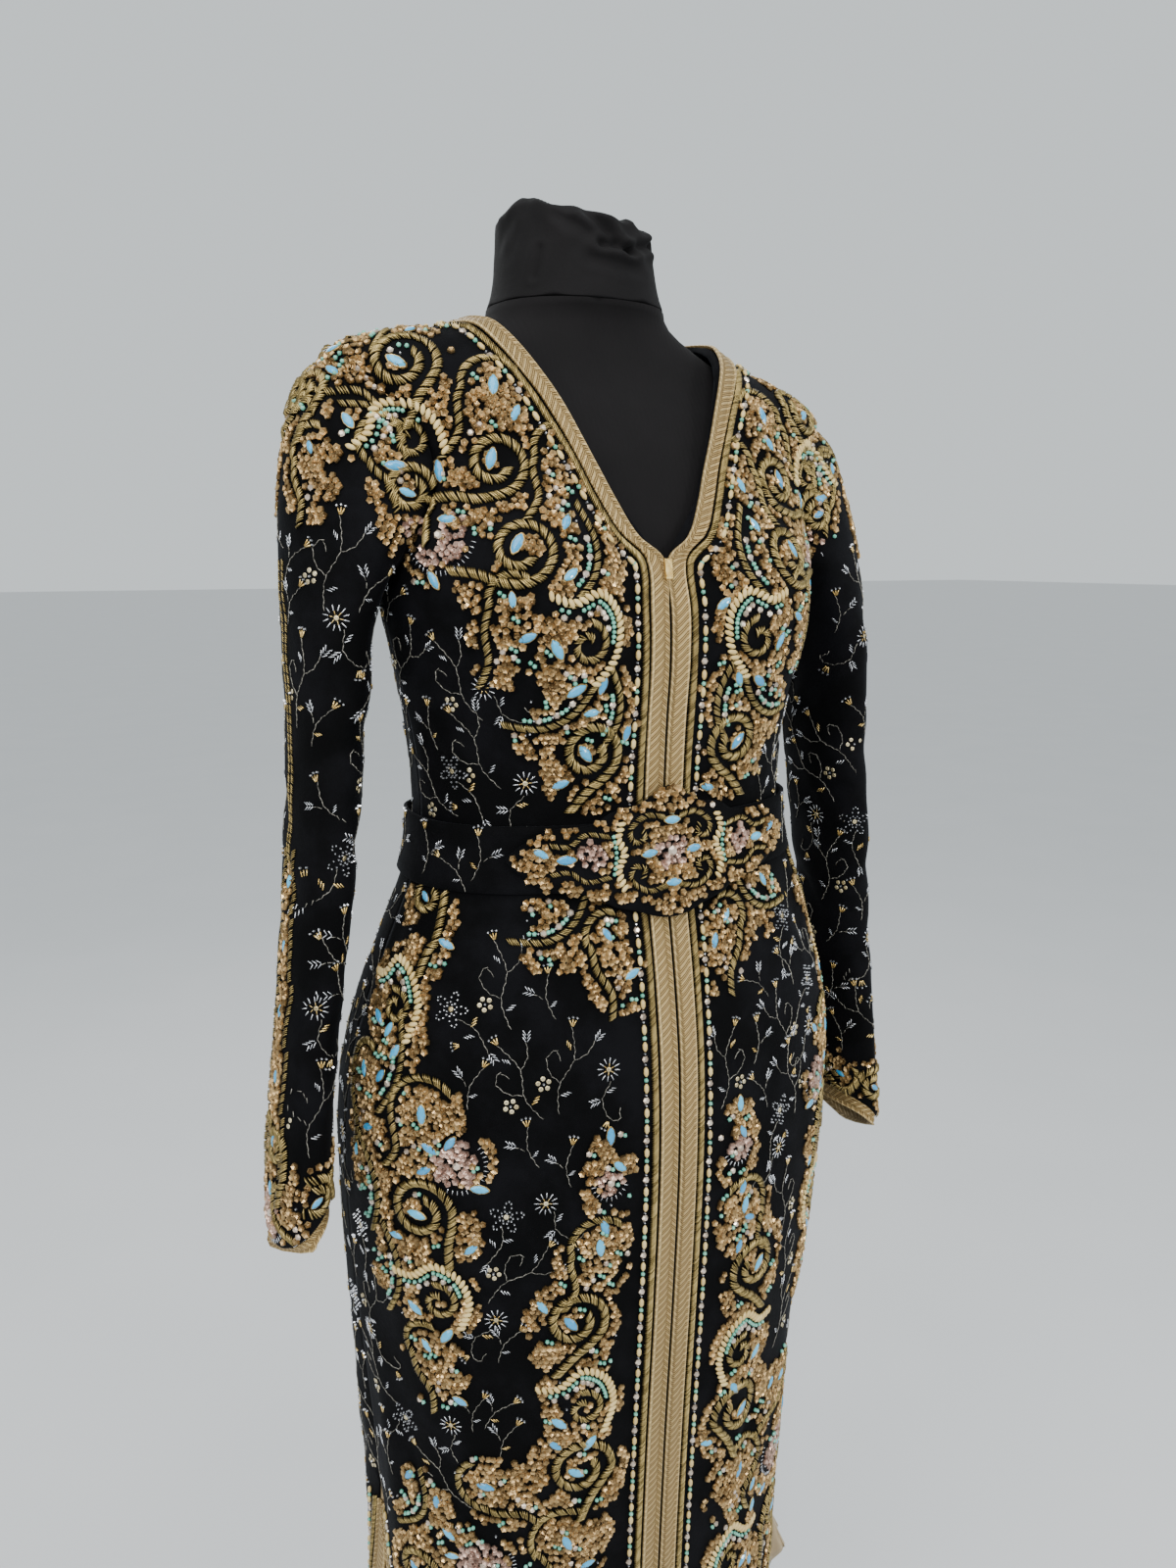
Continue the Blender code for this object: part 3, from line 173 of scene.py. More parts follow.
panel_light("light_over", (-0.6, -0.9, 3.0), (0, 0, 1.1), (2.4, 2.0), 42)
panel_light("light_right", (-2.4, -1.2, 1.9), (0, 0, 1.1), (1.4, 1.8), 26, (1, 0.98, 0.95))
panel_light("light_left", (2.2, -1.8, 1.7), (0, 0, 1.0), (1.4, 1.8), 20, (0.96, 0.98, 1))
panel_light("light_back", (0.4, 2.2, 2.3), (0, 0, 1.1), (2.0, 1.2), 16)
panel_light("light_glint", (-1.3, -2.0, 2.3), (0, 0, 1.1), (0.35, 0.35), 22)
panel_light("light_glint_low", (0.9, -2.1, 1.2), (0, 0, 0.9), (0.30, 0.30), 12)
world = bpy.data.worlds.new("studio")
world.use_nodes = True
world.node_tree.nodes["Background"].inputs[0].default_value = (0.79, 0.85, 0.87, 1)
world.node_tree.nodes["Background"].inputs[1].default_value = 1.0
bpy.context.scene.world = world

# The stand: a plain round steel base and a tube post in grey powder coat, below the picture.
# The solids have their shape, so they stay, with a fine orange-peel bump and scuffed edges.
stand_coat = Finish("stand_grey_coat", Metallic=0.0, Coat_Roughness=0.3)
scuff = stand_coat.noise(38.0, 4.0).between(0.56, 0.68)
stand_coat.feed("Base Color", stand_coat.colours(scuff, (0.185, 0.185, 0.195), (0.21, 0.21, 0.22)))
stand_coat.feed("Roughness", 0.42 + scuff * 0.16)
stand_coat.bump(stand_coat.noise(900.0), 0.0002, 0.5)
for name in ("stand_base", "stand_post"):
    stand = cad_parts[name]
    stand.data.materials.clear()
    stand.data.materials.append(stand_coat.material)


# The dress form's torso: a padded shell in stretched black jersey, smooth and limbless, which
# shows in the V neck and inside the skirt. The jersey is pinned taut, so it has no creases.
JERSEY_RIB = 1500.0


def share_of(value):
    """A number held between 0 and 1."""
    return min(1, max(0, value))


def own_copy(node, name, levels=2, corner=50, edge=0.85):
    """A smooth copy of a CAD node, which it replaces. Corners keep most of their edge."""
    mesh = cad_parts[node].data.copy()
    work = bmesh.new()
    work.from_mesh(mesh)
    bmesh.ops.remove_doubles(work, verts=work.verts, dist=2e-5)
    limit = math.radians(35)
    bmesh.ops.join_triangles(
        work, faces=work.faces, angle_face_threshold=limit, angle_shape_threshold=math.radians(60)
    )
    crease = work.edges.layers.float.new("crease_edge")
    for one in work.edges:
        if len(one.link_faces) == 2 and one.calc_face_angle() > math.radians(corner):
            one[crease] = edge
    work.to_mesh(mesh)
    work.free()
    mesh.name = name
    piece = bpy.data.objects.new(name, mesh)
    bpy.context.collection.objects.link(piece)
    bpy.context.view_layer.objects.active = piece
    smoother = piece.modifiers.new("smooth", "SUBSURF")
    smoother.levels = smoother.render_levels = levels
    bpy.ops.object.modifier_apply(modifier=smoother.name)
    mesh.materials.clear()
    mesh.shade_smooth()
    mesh.set_sharp_from_angle(angle=math.radians(55))
    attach(piece, "root")
    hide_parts(node)
    return piece


jersey = Finish(
    "form_jersey", Sheen_Weight=0.02, Sheen_Roughness=0.4, Roughness=0.9, Specular_IOR_Level=0.12
)
ribs = jersey.node("SeparateXYZ", {}, {0: jersey.place()})
across_form = jersey.node("VectorMath", {"operation": "MULTIPLY"}, {0: jersey.place(), 1: (1, 1, 0)})
rib_turn = jersey.noise(2.0, vector=across_form)
ribs = ((ribs + rib_turn * 0.002) * JERSEY_RIB).sine()
cloudy = jersey.noise(24.0, 4.0)
jersey.feed("Base Color", jersey.colours(cloudy, (0.0045, 0.0041, 0.0043), (0.0085, 0.0076, 0.0080)))
jersey.bump(ribs * 0.3 + jersey.noise(1800.0), 0.0003, 0.5)
torso = own_copy("form_torso", "form_torso_jersey", levels=1, corner=60)
torso.data.materials.append(jersey.material)

# The form's neck: the block's top is wrapped in thin black cotton, rumpled over the top edge and
# stitched down in a seam round its foot. One corner of the wrap stands up.
CRUMPLE_FROM_Z = 1.448
# How far the wrap's top stands over or under the block, from one side to the other, in metres.
WRAP_ACROSS = [-0.058, -0.036, -0.008, 0.022, 0.046, 0.060]
WRAP_RISE = [0.003, 0.007, -0.003, -0.007, -0.003, -0.001]
# The folds of its loose corner: from and to, across and up, with a depth and half width.
WRAP_FOLDS = [
    (0.008, 1.490, 0.030, 1.466, 0.0062, 0.0036),
    (0.020, 1.463, 0.040, 1.461, 0.0062, 0.0032),
    (0.040, 1.461, 0.055, 1.470, 0.0048, 0.0032),
    (-0.010, 1.482, 0.022, 1.466, 0.0026, 0.0045),
    (-0.024, 1.458, -0.028, 1.440, 0.0016, 0.0026),
    (0.012, 1.452, 0.044, 1.448, 0.0018, 0.0040),
]
cotton = Finish("neck_cotton", Sheen_Weight=0.012, Roughness=0.8, Specular_IOR_Level=0.12)
faded = cotton.noise(30.0, 3.0)
cotton.feed("Base Color", cotton.colours(faded, (0.0036, 0.0032, 0.0034), (0.0080, 0.0072, 0.0076)))
cotton.bump(cotton.noise(1400.0, 2.0) + cotton.noise(90.0, 3.0) * 1.5, 0.0005, 0.5)
neck = own_copy("form_neck", "form_neck_cover", levels=3, corner=40, edge=0.35)
neck_low, neck_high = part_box("form_neck")
neck_middle = Vector(((neck_low[0] + neck_high[0]) / 2, (neck_low[1] + neck_high[1]) / 2, 0))
sideways = Vector((math.cos(VIEW_TURN), math.sin(VIEW_TURN), 0))
for vertex in neck.data.vertices:
    spot = vertex.co
    out = Vector((spot.x - neck_middle.x, spot.y - neck_middle.y, 0))
    reach = out.length
    out.normalize()
    high = share_of((spot.z - CRUMPLE_FROM_Z) / (neck_high[2] - CRUMPLE_FROM_Z))
    ridged = 1 - 2 * abs(noise.noise(Vector((spot.x * 30, spot.y * 30, spot.z * 16)) + Vector((3, 1, 7))))
    small = noise.noise(spot * 70)
    bunched = 1.0 + 0.2 * share_of((spot.x + 0.005) / 0.03)
    push = ((ridged - 0.45) * 0.0055 * bunched + small * 0.0030) * high * min(1, reach / 0.03)
    vertical = max(0, (reach - 0.03) / 0.03)
    folded = 1 - 2 * abs(noise.noise(Vector((spot.x * 42 + spot.y * 14, spot.y * 42, 4.2))))
    lifted = (folded - 0.5) * 0.0085 * bunched * high**3
    across = (spot - neck_middle).dot(sideways)
    risen = float(np.interp(across, WRAP_ACROSS, WRAP_RISE)) * high**2
    if out.dot(sideways.cross(Vector((0, 0, 1)))) > 0.1:
        for left, low, right, far, depth, half_width in WRAP_FOLDS:
            start, span = Vector((left, low)), Vector((right - left, far - low))
            here = Vector((across, spot.z)) - start
            nearest = span * share_of(here.dot(span) / span.length_squared)
            offset = (here - nearest).length / half_width
            push += depth * (0.35 * math.exp(-((offset - 2) ** 2)) - math.exp(-(offset**2)))
    vertex.co = spot + out * push * vertical + Vector((0, 0, lifted + risen - 0.004 * high**4))
neck.data.materials.append(cotton.material)

# The velvet body: two fronts and a back in heavy silk-look velvet, dull black with a dark sheen.
# Where the pile leans it is smoother, and its colour is painted lighter there as a painted sheen.
# The long folds are in the solids; the pulls and dents that wearing gives are added here. Each row
# runs from one place to another, as degrees from the centre front (the wearer's left positive) and
# a height, with its depth and half width in metres.
BODY_PULLS = [
    (-44, 1.030, -58, 1.130, 0.0030, 0.010),
    (-60, 1.040, -78, 1.150, 0.0036, 0.011),
    (-78, 1.030, -88, 1.110, 0.0030, 0.010),
    (-70, 1.205, -84, 1.160, 0.0030, 0.011),
    (-66, 1.230, -80, 1.245, 0.0028, 0.011),
    (-52, 1.010, -70, 0.930, 0.0034, 0.012),
    (-34, 1.005, -44, 0.940, 0.0026, 0.010),
    (-76, 1.010, -86, 0.950, 0.0030, 0.010),
    (48, 1.030, 60, 1.120, 0.0030, 0.010),
    (64, 1.040, 80, 1.140, 0.0034, 0.011),
    (72, 1.190, 86, 1.150, 0.0030, 0.011),
    (50, 1.010, 66, 0.935, 0.0032, 0.012),
    (34, 1.000, 42, 0.945, 0.0026, 0.010),
    (104, 1.030, 128, 1.110, 0.0034, 0.012),
    (118, 1.010, 150, 1.060, 0.0034, 0.012),
    (-108, 1.030, -130, 1.100, 0.0034, 0.012),
    (-122, 1.005, -156, 1.050, 0.0032, 0.012),
    (170, 1.090, -168, 1.075, 0.0026, 0.012),
    (112, 1.200, 138, 1.250, 0.0030, 0.013),
    (-114, 1.190, -140, 1.240, 0.0030, 0.013),
    (100, 0.700, 112, 0.420, 0.0040, 0.015),
    (128, 0.640, 122, 0.380, 0.0036, 0.014),
    (158, 0.700, 164, 0.400, 0.0040, 0.016),
    (-104, 0.680, -110, 0.420, 0.0040, 0.015),
    (-132, 0.660, -126, 0.380, 0.0036, 0.014),
    (-160, 0.700, -154, 0.400, 0.0040, 0.016),
    (-78, 0.700, -74, 0.500, 0.0026, 0.012),
    (-46, 0.640, -36, 0.380, 0.0030, 0.013),
    (40, 0.640, 34, 0.380, 0.0030, 0.013),
    (76, 0.680, 72, 0.500, 0.0026, 0.012),
]
METRES_PER_DEGREE = 0.0030
velvet = Finish("velvet_black", Sheen_Weight=0.03, Sheen_Roughness=0.30, Specular_IOR_Level=0.07)
velvet.shader.inputs["Sheen Tint"].default_value = (0.62, 0.66, 0.80, 1)
leaning = velvet.noise(17.0, 5.0, roughness=0.62)
pile = velvet.noise(1500.0, 2.0)
pile_painted_sheen = leaning.between(0.40, 0.68)
# Painted sheen: the base colour is a little lighter where the pile leans.
velvet.feed("Base Color", velvet.colours(pile_painted_sheen, (0.0008, 0.0008, 0.0010), (0.0030, 0.0030, 0.0040)))
velvet.feed("Roughness", 0.95 - leaning * 0.25)
velvet.bump(pile * 0.6 + leaning * 1.0 + velvet.noise(210.0, 3.0) * 0.7, 0.0006, 0.6)


def trough(across, along, length, depth, half_width, seed):
    """How far a pull in the cloth moves a place: a soft trough with a ridge on both sides."""
    wander = noise.noise(Vector((along * 22, seed * 3.7, 0.5))) * half_width * 0.9
    offset = abs(across - wander) / half_width
    if offset > 4:
        return 0.0
    ends = math.sin(math.pi * share_of(along / length)) ** 0.8
    uneven = 0.75 + 0.5 * noise.noise(Vector((along * 30, seed * 1.3, 2.0)))
    return depth * ends * uneven * (0.45 * math.exp(-((offset - 1.9) ** 2)) - math.exp(-(offset**2)))


trim_points = []
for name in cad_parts:
    if "band" in name or name == "belt":
        trim_points += [v.co.copy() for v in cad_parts[name].data.vertices]
trim_tree = KDTree(len(trim_points))
for index, point in enumerate(trim_points):
    trim_tree.insert(point, index)
trim_tree.balance()


def near_trim(point):
    """0 beside a trim, which lies flat on the velvet, and 1 from 4 cm away."""
    return share_of((trim_tree.find(point)[2] - 0.006) / 0.034)


side_seam = []
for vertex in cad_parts["front_panel_right"].data.vertices:
    apart = min((vertex.co - other.co).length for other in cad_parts["back_panel"].data.vertices)
    if apart < 0.0012 and vertex.co.z < 1.30:
        side_seam.append((vertex.co.z, vertex.co.y))
seam_heights, seam_depths = np.array(sorted(side_seam)).T


def dent_body(piece, seam_pull):
    """The pulls, which fade out at the side seams. The seam draws the two pieces together."""
    for vertex in piece.data.vertices:
        spot = vertex.co
        turn = math.degrees(math.atan2(spot.x, -(spot.y - 0.01)))
        moved = 0.0
        for index, (turn_a, low, turn_b, high, depth, half_width) in enumerate(BODY_PULLS):
            if not min(low, high) - 0.05 < spot.z < max(low, high) + 0.05:
                continue
            span = Vector((math.remainder(turn_b - turn_a, 360) * METRES_PER_DEGREE, high - low))
            here = Vector((math.remainder(turn - turn_a, 360) * METRES_PER_DEGREE, spot.z - low))
            length = span.length
            along = here.dot(span) / length
            if 0 < along < length:
                across = (here.x * span.y - here.y * span.x) / length
                moved += trough(across, along, length, depth, half_width, index)
        off_seam = 1.0
        if abs(spot.x) > 0.10:
            off_seam = abs(spot.y - np.interp(spot.z, seam_heights, seam_depths))
        if abs(moved) > 1e-5:
            out = Vector((spot.x, spot.y - 0.01, 0)).normalized()
            vertex.co = spot + out * moved * near_trim(spot) * min(1, off_seam / 0.030)
        if off_seam < 0.003 and 0.50 < spot.z < 1.30:
            vertex.co.y += seam_pull


body_cloth = {}
for name, width, length, area in (
    ("front_panel_right", 0.36, 1.16, 0.33),
    ("front_panel_left", 0.36, 1.16, 0.33),
    ("back_panel", 0.70, 1.16, 0.66),
):
    cloth = own_copy(name, name + "_velvet")
    dent_body(cloth, -0.0005 if name == "back_panel" else 0.0005)
    cloth.data.materials.append(velvet.material)
    body_cloth[name] = cloth

# The sleeves: long and narrow, in the same velvet, set in at the armhole. They hang from the
# shoulder, so the cloth buckles softly at the elbow and above the cuff. Each row is a height
# below the shoulder, degrees round from the outside, and a depth; the buckles run across.
SLEEVE_BUCKLES = [
    (0.150, -60, 0.0026, 0.012),
    (0.205, 150, 0.0030, 0.012),
    (0.255, -100, 0.0034, 0.013),
    (0.290, 70, 0.0036, 0.013),
    (0.325, -140, 0.0038, 0.012),
    (0.350, -30, 0.0030, 0.011),
    (0.385, 120, 0.0034, 0.013),
    (0.430, -80, 0.0026, 0.012),
    (0.475, 160, 0.0026, 0.012),
    (0.505, 60, 0.0020, 0.010),
]
SLEEVE_TOPS = {-1: 1.376, 1: 1.354}
sleeve_cloth = {}
for side, name in ((-1, "sleeve_right"), (1, "sleeve_left")):
    cloth = own_copy(name, name + "_velvet")
    top = SLEEVE_TOPS[side]
    for vertex in cloth.data.vertices:
        spot = vertex.co
        below = top - spot.z
        if below < 0.09:
            continue
        share = share_of((below - 0.15) / 0.42)
        middle = Vector((side * (0.206 + 0.040 * share), 0.006 - 0.024 * share, spot.z))
        out = spot - middle
        turn = math.atan2(out.y, out.x * side)
        moved = 0.0
        for index, (height, degrees, depth, half_width) in enumerate(SLEEVE_BUCKLES):
            away = math.remainder(turn - math.radians(degrees), 2 * math.pi)
            tilt = height + 0.020 * math.sin(away) * (-1) ** index
            fade = math.exp(-((away / 1.25) ** 2))
            moved += fade * trough(below - tilt, 0.5, 1.0, depth, half_width, index + side * 40)
        vertex.co = spot + out.normalized() * moved * near_trim(spot) * min(1, (below - 0.09) / 0.05)
    cloth.data.materials.append(velvet.material)
    sleeve_cloth[side] = cloth

# The gold braid: woven metallic tape about 15 mm wide, with a wide and a narrow column of slanted
# ribs and a cord along its edges, sewn flat over each front edge and the V, round the nape, the
# cuffs and the side slits. Each row of the profile is a share of the width and a height in
# metres over the solid's face, from a thin dark gap at the edge where two bands meet.
BRAID_PROFILE = [
    (0.06, -0.0017),
    (0.06, -0.0002),
    (0.09, 0.0004),
    (0.15, 0.0006),
    (0.20, 0.0001),
    (0.24, -0.0004),
    (0.30, -0.0007),
    (0.37, -0.0001),
    (0.55, 0.0003),
    (0.74, -0.0001),
    (0.82, -0.0005),
    (0.86, 0.0001),
    (0.91, 0.0006),
    (0.97, 0.0004),
    (1.00, -0.0002),
    (1.00, -0.0017),
]
BRAID_STEP = 0.0042
BRAID_RIB = 0.0018


def parts(finish, vector):
    """The three numbers of a vector socket."""
    first = finish.node("SeparateXYZ", {}, {0: vector})
    return [Value(finish, output) for output in first.socket.node.outputs]


braid = Finish("gold_braid", Metallic=0.55)
across, along, _ = parts(braid, braid.node("UVMap", {"uv_map": "strip"}, {}))
wide = across.between(0.0043, 0.0046)
slanted = along + across * (1.05 - wide * 1.95)
rib = (slanted * (2 * math.pi / BRAID_RIB)).sine()
stitch_ridge_highlight = (slanted * (2 * math.pi / 0.0058)).sine().between(0.35, 0.95)
from_middle = (across - 0.0075).math("ABSOLUTE")
from_groove = (across - 0.0045).math("ABSOLUTE")
edge = from_middle.between(0.0054, 0.0060) - from_groove.between(0.0010, 0.0002)
warp = (across * (2 * math.pi / 0.0011)).sine()
wear = braid.noise(60.0, 3.0)
# Painted light on the braid: its rib troughs are painted dark as shade, and its slanted stitch ridges and
# edge cords are painted pale gold as highlights, kept out of the groove between columns.
rib_painted_shade = braid.colours(rib.between(-0.9, 0.7), (0.095, 0.058, 0.019), (0.40, 0.27, 0.105))
painted_highlights = braid.colours((stitch_ridge_highlight * 0.55 + edge * 0.45).clipped(), rib_painted_shade, (0.70, 0.52, 0.25))
braid.feed("Base Color", braid.colours(wear.between(0.5, 0.8) * 0.35, painted_highlights, (0.30, 0.20, 0.085)))
braid.feed("Roughness", 0.46 - stitch_ridge_highlight * 0.12 + wear * 0.10)
braid.bump(rib * 0.5 + warp * 0.25 + stitch_ridge_highlight * 0.5, 0.0005, 0.8)


def rim_loops(node, inner):
    """The closed rims round a trim's outward face, as (point, outward direction) pairs."""
    work = bmesh.new()
    work.from_mesh(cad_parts[node].data)
    bmesh.ops.remove_doubles(work, verts=work.verts, dist=2e-5)
    work.normal_update()
    shown = set()
    for face in work.faces:
        middle = face.calc_center_median()
        if face.normal.dot((middle - inner(middle)).normalized()) > 0.35:
            shown.add(face)
    beside = {}
    for one in work.edges:
        if sum(face in shown for face in one.link_faces) == 1:
            for vertex in one.verts:
                beside.setdefault(vertex, []).append(one.other_vert(vertex))
    loops, waiting = [], set(beside)
    while waiting:
        loop = [min(waiting, key=lambda v: (round(v.co.z, 5), v.co.x))]
        waiting.discard(loop[0])
        while True:
            following = [v for v in beside[loop[-1]] if v in waiting]
            if not following:
                break
            loop.append(following[0])
            waiting.discard(following[0])
        loops.append(loop)
    found = []
    for loop in loops:
        pairs = []
        for vertex in loop:
            total = sum((f.normal * f.calc_area() for f in vertex.link_faces if f in shown), Vector())
            pairs.append((vertex.co.copy(), total.normalized()))
        found.append(pairs)
    work.free()
    return found


def strip_sides(loops):
    """A trim's two long edges, point beside point. A tube's are its two rims."""
    if len(loops) > 1:
        first, second = sorted(loops, key=len)[-2:]
        start = min(range(len(second)), key=lambda k: (second[k][0] - first[0][0]).length)
        second = second[start:] + second[:start]
        if (second[1][0] - first[1][0]).length > (second[-1][0] - first[1][0]).length:
            second = second[:1] + second[:0:-1]
        return first, second, True
    loop = loops[0]
    count = len(loop)

    def sharpness(k):
        before = (loop[k][0] - loop[k - 1][0]).normalized()
        return -before.dot((loop[(k + 1) % count][0] - loop[k][0]).normalized())

    corners = sorted(sorted(range(count), key=sharpness)[-4:])
    sides = []
    for a, b in zip(corners, corners[1:] + [corners[0] + count]):
        sides.append([loop[k % count] for k in range(a, b + 1)])
    first, second = sorted(sides, key=len)[-2:]
    if abs(second[0][0].x) + abs(second[-1][0].x) < abs(first[0][0].x) + abs(first[-1][0].x):
        first, second = second, first
    return first, second[::-1], False


def on_chain(chain, share, closed):
    """A place on the smooth line through a chain of (point, direction) pairs."""
    count = len(chain)
    spans = count if closed else count - 1
    reach = min(share, 1 - 1e-9) * spans
    k = int(reach)
    t = reach - k
    near = [k - 1, k, k + 1, k + 2]
    near = [n % count if closed else min(max(n, 0), count - 1) for n in near]
    a, b, c, d = (chain[n][0] for n in near)
    point = b + (c - a) * (t / 2) + (a * 2 - b * 5 + c * 4 - d) * (t * t / 2)
    point += (b * 3 - a - c * 3 + d) * (t * t * t / 2)
    return point, chain[near[1]][1].lerp(chain[near[2]][1], t).normalized()


def lay_strip(name, first, second, closed, profile, finish):
    """A strip between two chains, with the profile across it and its own flat map."""
    length = sum((a[0] - b[0]).length for a, b in zip(first, first[1:]))
    stations = max(8, round(length / BRAID_STEP))
    work = bmesh.new()
    flat = work.loops.layers.uv.new("strip")
    rows, run, last, total_width = [], 0.0, None, 0.0
    beside = [on_chain(second, k / (stations * 4), closed) for k in range(stations * 4 + 1)]
    for station in range(stations + 1):
        share = station / stations % 1 if closed else station / stations
        a, out_a = on_chain(first, share, closed)
        b, out_b = min(beside, key=lambda pair: (pair[0] - a).length)
        out = (out_a + out_b).normalized()
        middle = (a + b) / 2
        run += (middle - last).length if last else 0.0
        last = middle
        width = (b - a).length
        total_width += width
        ring = [(work.verts.new(a.lerp(b, u) + out * up), (u * width, run)) for u, up in profile]
        rows.append(ring)
    count = len(profile)
    for near, far in zip(rows, rows[1:]):
        for k in range(count):
            corners = [near[k], near[(k + 1) % count], far[(k + 1) % count], far[k]]
            face = work.faces.new([c[0] for c in corners])
            for loop, corner in zip(face.loops, corners):
                loop[flat].uv = corner[1]
    if closed:
        bmesh.ops.remove_doubles(work, verts=work.verts, dist=1e-5)
    else:
        for ring in (rows[0], rows[-1]):
            face = work.faces.new([c[0] for c in ring])
            for loop, corner in zip(face.loops, ring):
                loop[flat].uv = corner[1]
    bmesh.ops.recalc_face_normals(work, faces=work.faces)
    if work.calc_volume(signed=True) < 0:
        bmesh.ops.reverse_faces(work, faces=work.faces)
    mesh = bpy.data.meshes.new(name)
    work.to_mesh(mesh)
    work.free()
    mesh.materials.append(finish.material)
    mesh.shade_smooth()
    piece = bpy.data.objects.new(name, mesh)
    bpy.context.collection.objects.link(piece)
    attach(piece, "root")
    return piece, total_width / (stations + 1), run


def body_inside(point):
    return Vector((0, 0.02, min(point.z, 1.25)))


def nape_sides(loop):
    """The nape tape's two edges, between the shoulder seams where its ends are turned under."""
    sides = [[], []]
    for point, out in sorted(loop, key=lambda pair: pair[0].x):
        if abs(point.x) > 0.110 or point.y < 0.0265:
            continue
        side = sides[point.z > 1.4115 - 0.04 * max(0, point.x)]
        if not side or point.x - side[-1][0].x > 0.004:
            side.append((point, out))
    return sides[0], sides[1], False


# The slit's braid laps over the velvet's edge by this much.
SLIT_LAP = 0.0018
SLIT_MIDDLE_Y = 0.036
braid_edges = {}
braid_pieces = []
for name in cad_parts:
    if "band" not in name:
        continue
    inside = body_inside
    if "cuff" in name:
        cuff_x = -0.2485 if "right" in name else 0.2425
        inside = lambda p, x=cuff_x: Vector((x, min(max(p.y, -0.040), 0.008), p.z))
    loops = rim_loops(name, inside)
    first, second, closed = nape_sides(loops[0]) if name == "back_neck_band" else strip_sides(loops)
    if name.startswith("front"):
        for chain in (first, second):
            while abs(chain[0][0].z - chain[1][0].z) < 0.0004:
                chain.pop(0)
            while abs(chain[-1][0].z - chain[-2][0].z) < 0.0004:
                chain.pop()
    sewn_edges = [first, second]
    if name.startswith("slit"):
        outer = max((0, 1), key=lambda n: abs(sum(p[0].y - SLIT_MIDDLE_Y for p in sewn_edges[n])))
        lap = math.copysign(SLIT_LAP, sum(p[0].y - SLIT_MIDDLE_Y for p in sewn_edges[outer]))
        lapped = [(p + Vector((0, lap, 0)) + out * 0.0003, out) for p, out in sewn_edges[outer]]
        sewn_edges[outer] = lapped
    tape, width, length = lay_strip(name + "_braid", *sewn_edges, closed, BRAID_PROFILE, braid)
    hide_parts(name)
    braid_edges[name] = (first, second, closed)
    braid_pieces.append(tape)

# The belt: a straight velvet band round the waist, over the braid, with a wide shaped plate of
# stiffened velvet sewn to its front. Both are turned under at their edges.
belt = own_copy("belt", "belt_velvet")
belt.data.materials.append(velvet.material)
plate = own_copy("belt_plate", "belt_plate_velvet", levels=2, corner=50, edge=0.6)
plate.data.materials.append(velvet.material)

# The godets: gold satin let into the side slits, pleated by hand from the top of each slit, so
# that it opens into uneven folds at the hem.
SATIN_PLEAT = 0.0011
# The satin narrows behind the two braids up to the point of the slit.
GODET_POINT_Z = 0.508
satin = Finish("gold_satin", Metallic=0.30, Sheen_Weight=0.25, Sheen_Roughness=0.3)
satin.shader.inputs["Sheen Tint"].default_value = (0.95, 0.80, 0.55, 1)
drawn = satin.node("VectorMath", {"operation": "MULTIPLY"}, {0: satin.place(), 1: (1, 1, 0.05)})
threads = satin.noise(900.0, 2.0, drawn)
# Painted shade and sheen: the streaks that ripple the satin also make its colour darker in their troughs
# and lighter on their crests.
painted_shade = satin.noise(60.0, 3.0, drawn)
satin.feed("Base Color", satin.colours(painted_shade.between(0.3, 0.7), (0.26, 0.185, 0.095), (0.46, 0.35, 0.20)))
satin.feed("Roughness", 0.34 + threads * 0.16)
satin.bump(threads * 0.4 + painted_shade * 2.0, 0.0004, 0.6)
for side, name in ((-1, "godet_right"), (1, "godet_left")):
    cloth = own_copy(name, name + "_satin", corner=50, edge=1.0)
    low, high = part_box(name)
    for vertex in cloth.data.vertices:
        spot = vertex.co
        open_share = share_of((high[2] - spot.z) / (high[2] - low[2]))
        inside = share_of((0.052 - abs(spot.y - SLIT_MIDDLE_Y)) / 0.012)
        wave = math.sin(spot.y * 820 + 5 * noise.noise(Vector((spot.z * 9, side, 0.0))))
        uneven = noise.noise(Vector((spot.y * 60, spot.z * 7, side * 5)))
        vertex.co.x += side * inside * (wave * SATIN_PLEAT + uneven * 0.0022) * open_share**0.6
        if spot.z > high[2] - 0.0008:
            vertex.co = Vector((spot.x + side * 0.002, 0.0313 + (spot.y - 0.035) * 0.4, GODET_POINT_Z))
    cloth.data.materials.append(satin.material)

# The hook: a small gold hook and eye at the foot of the V that holds the two fronts edge to edge.
brass = Finish("hook_gold_metal", Metallic=1.0)
rubbed = brass.noise(400.0, 3.0)
brass.feed("Base Color", brass.colours(rubbed.between(0.35, 0.7), (0.62, 0.42, 0.14), (0.85, 0.64, 0.28)))
brass.feed("Roughness", 0.22 + rubbed * 0.15)
brass.bump(rubbed, 0.0001, 0.4)
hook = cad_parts["neck_hook"]
hook.data.materials.clear()
hook.data.materials.append(brass.material)


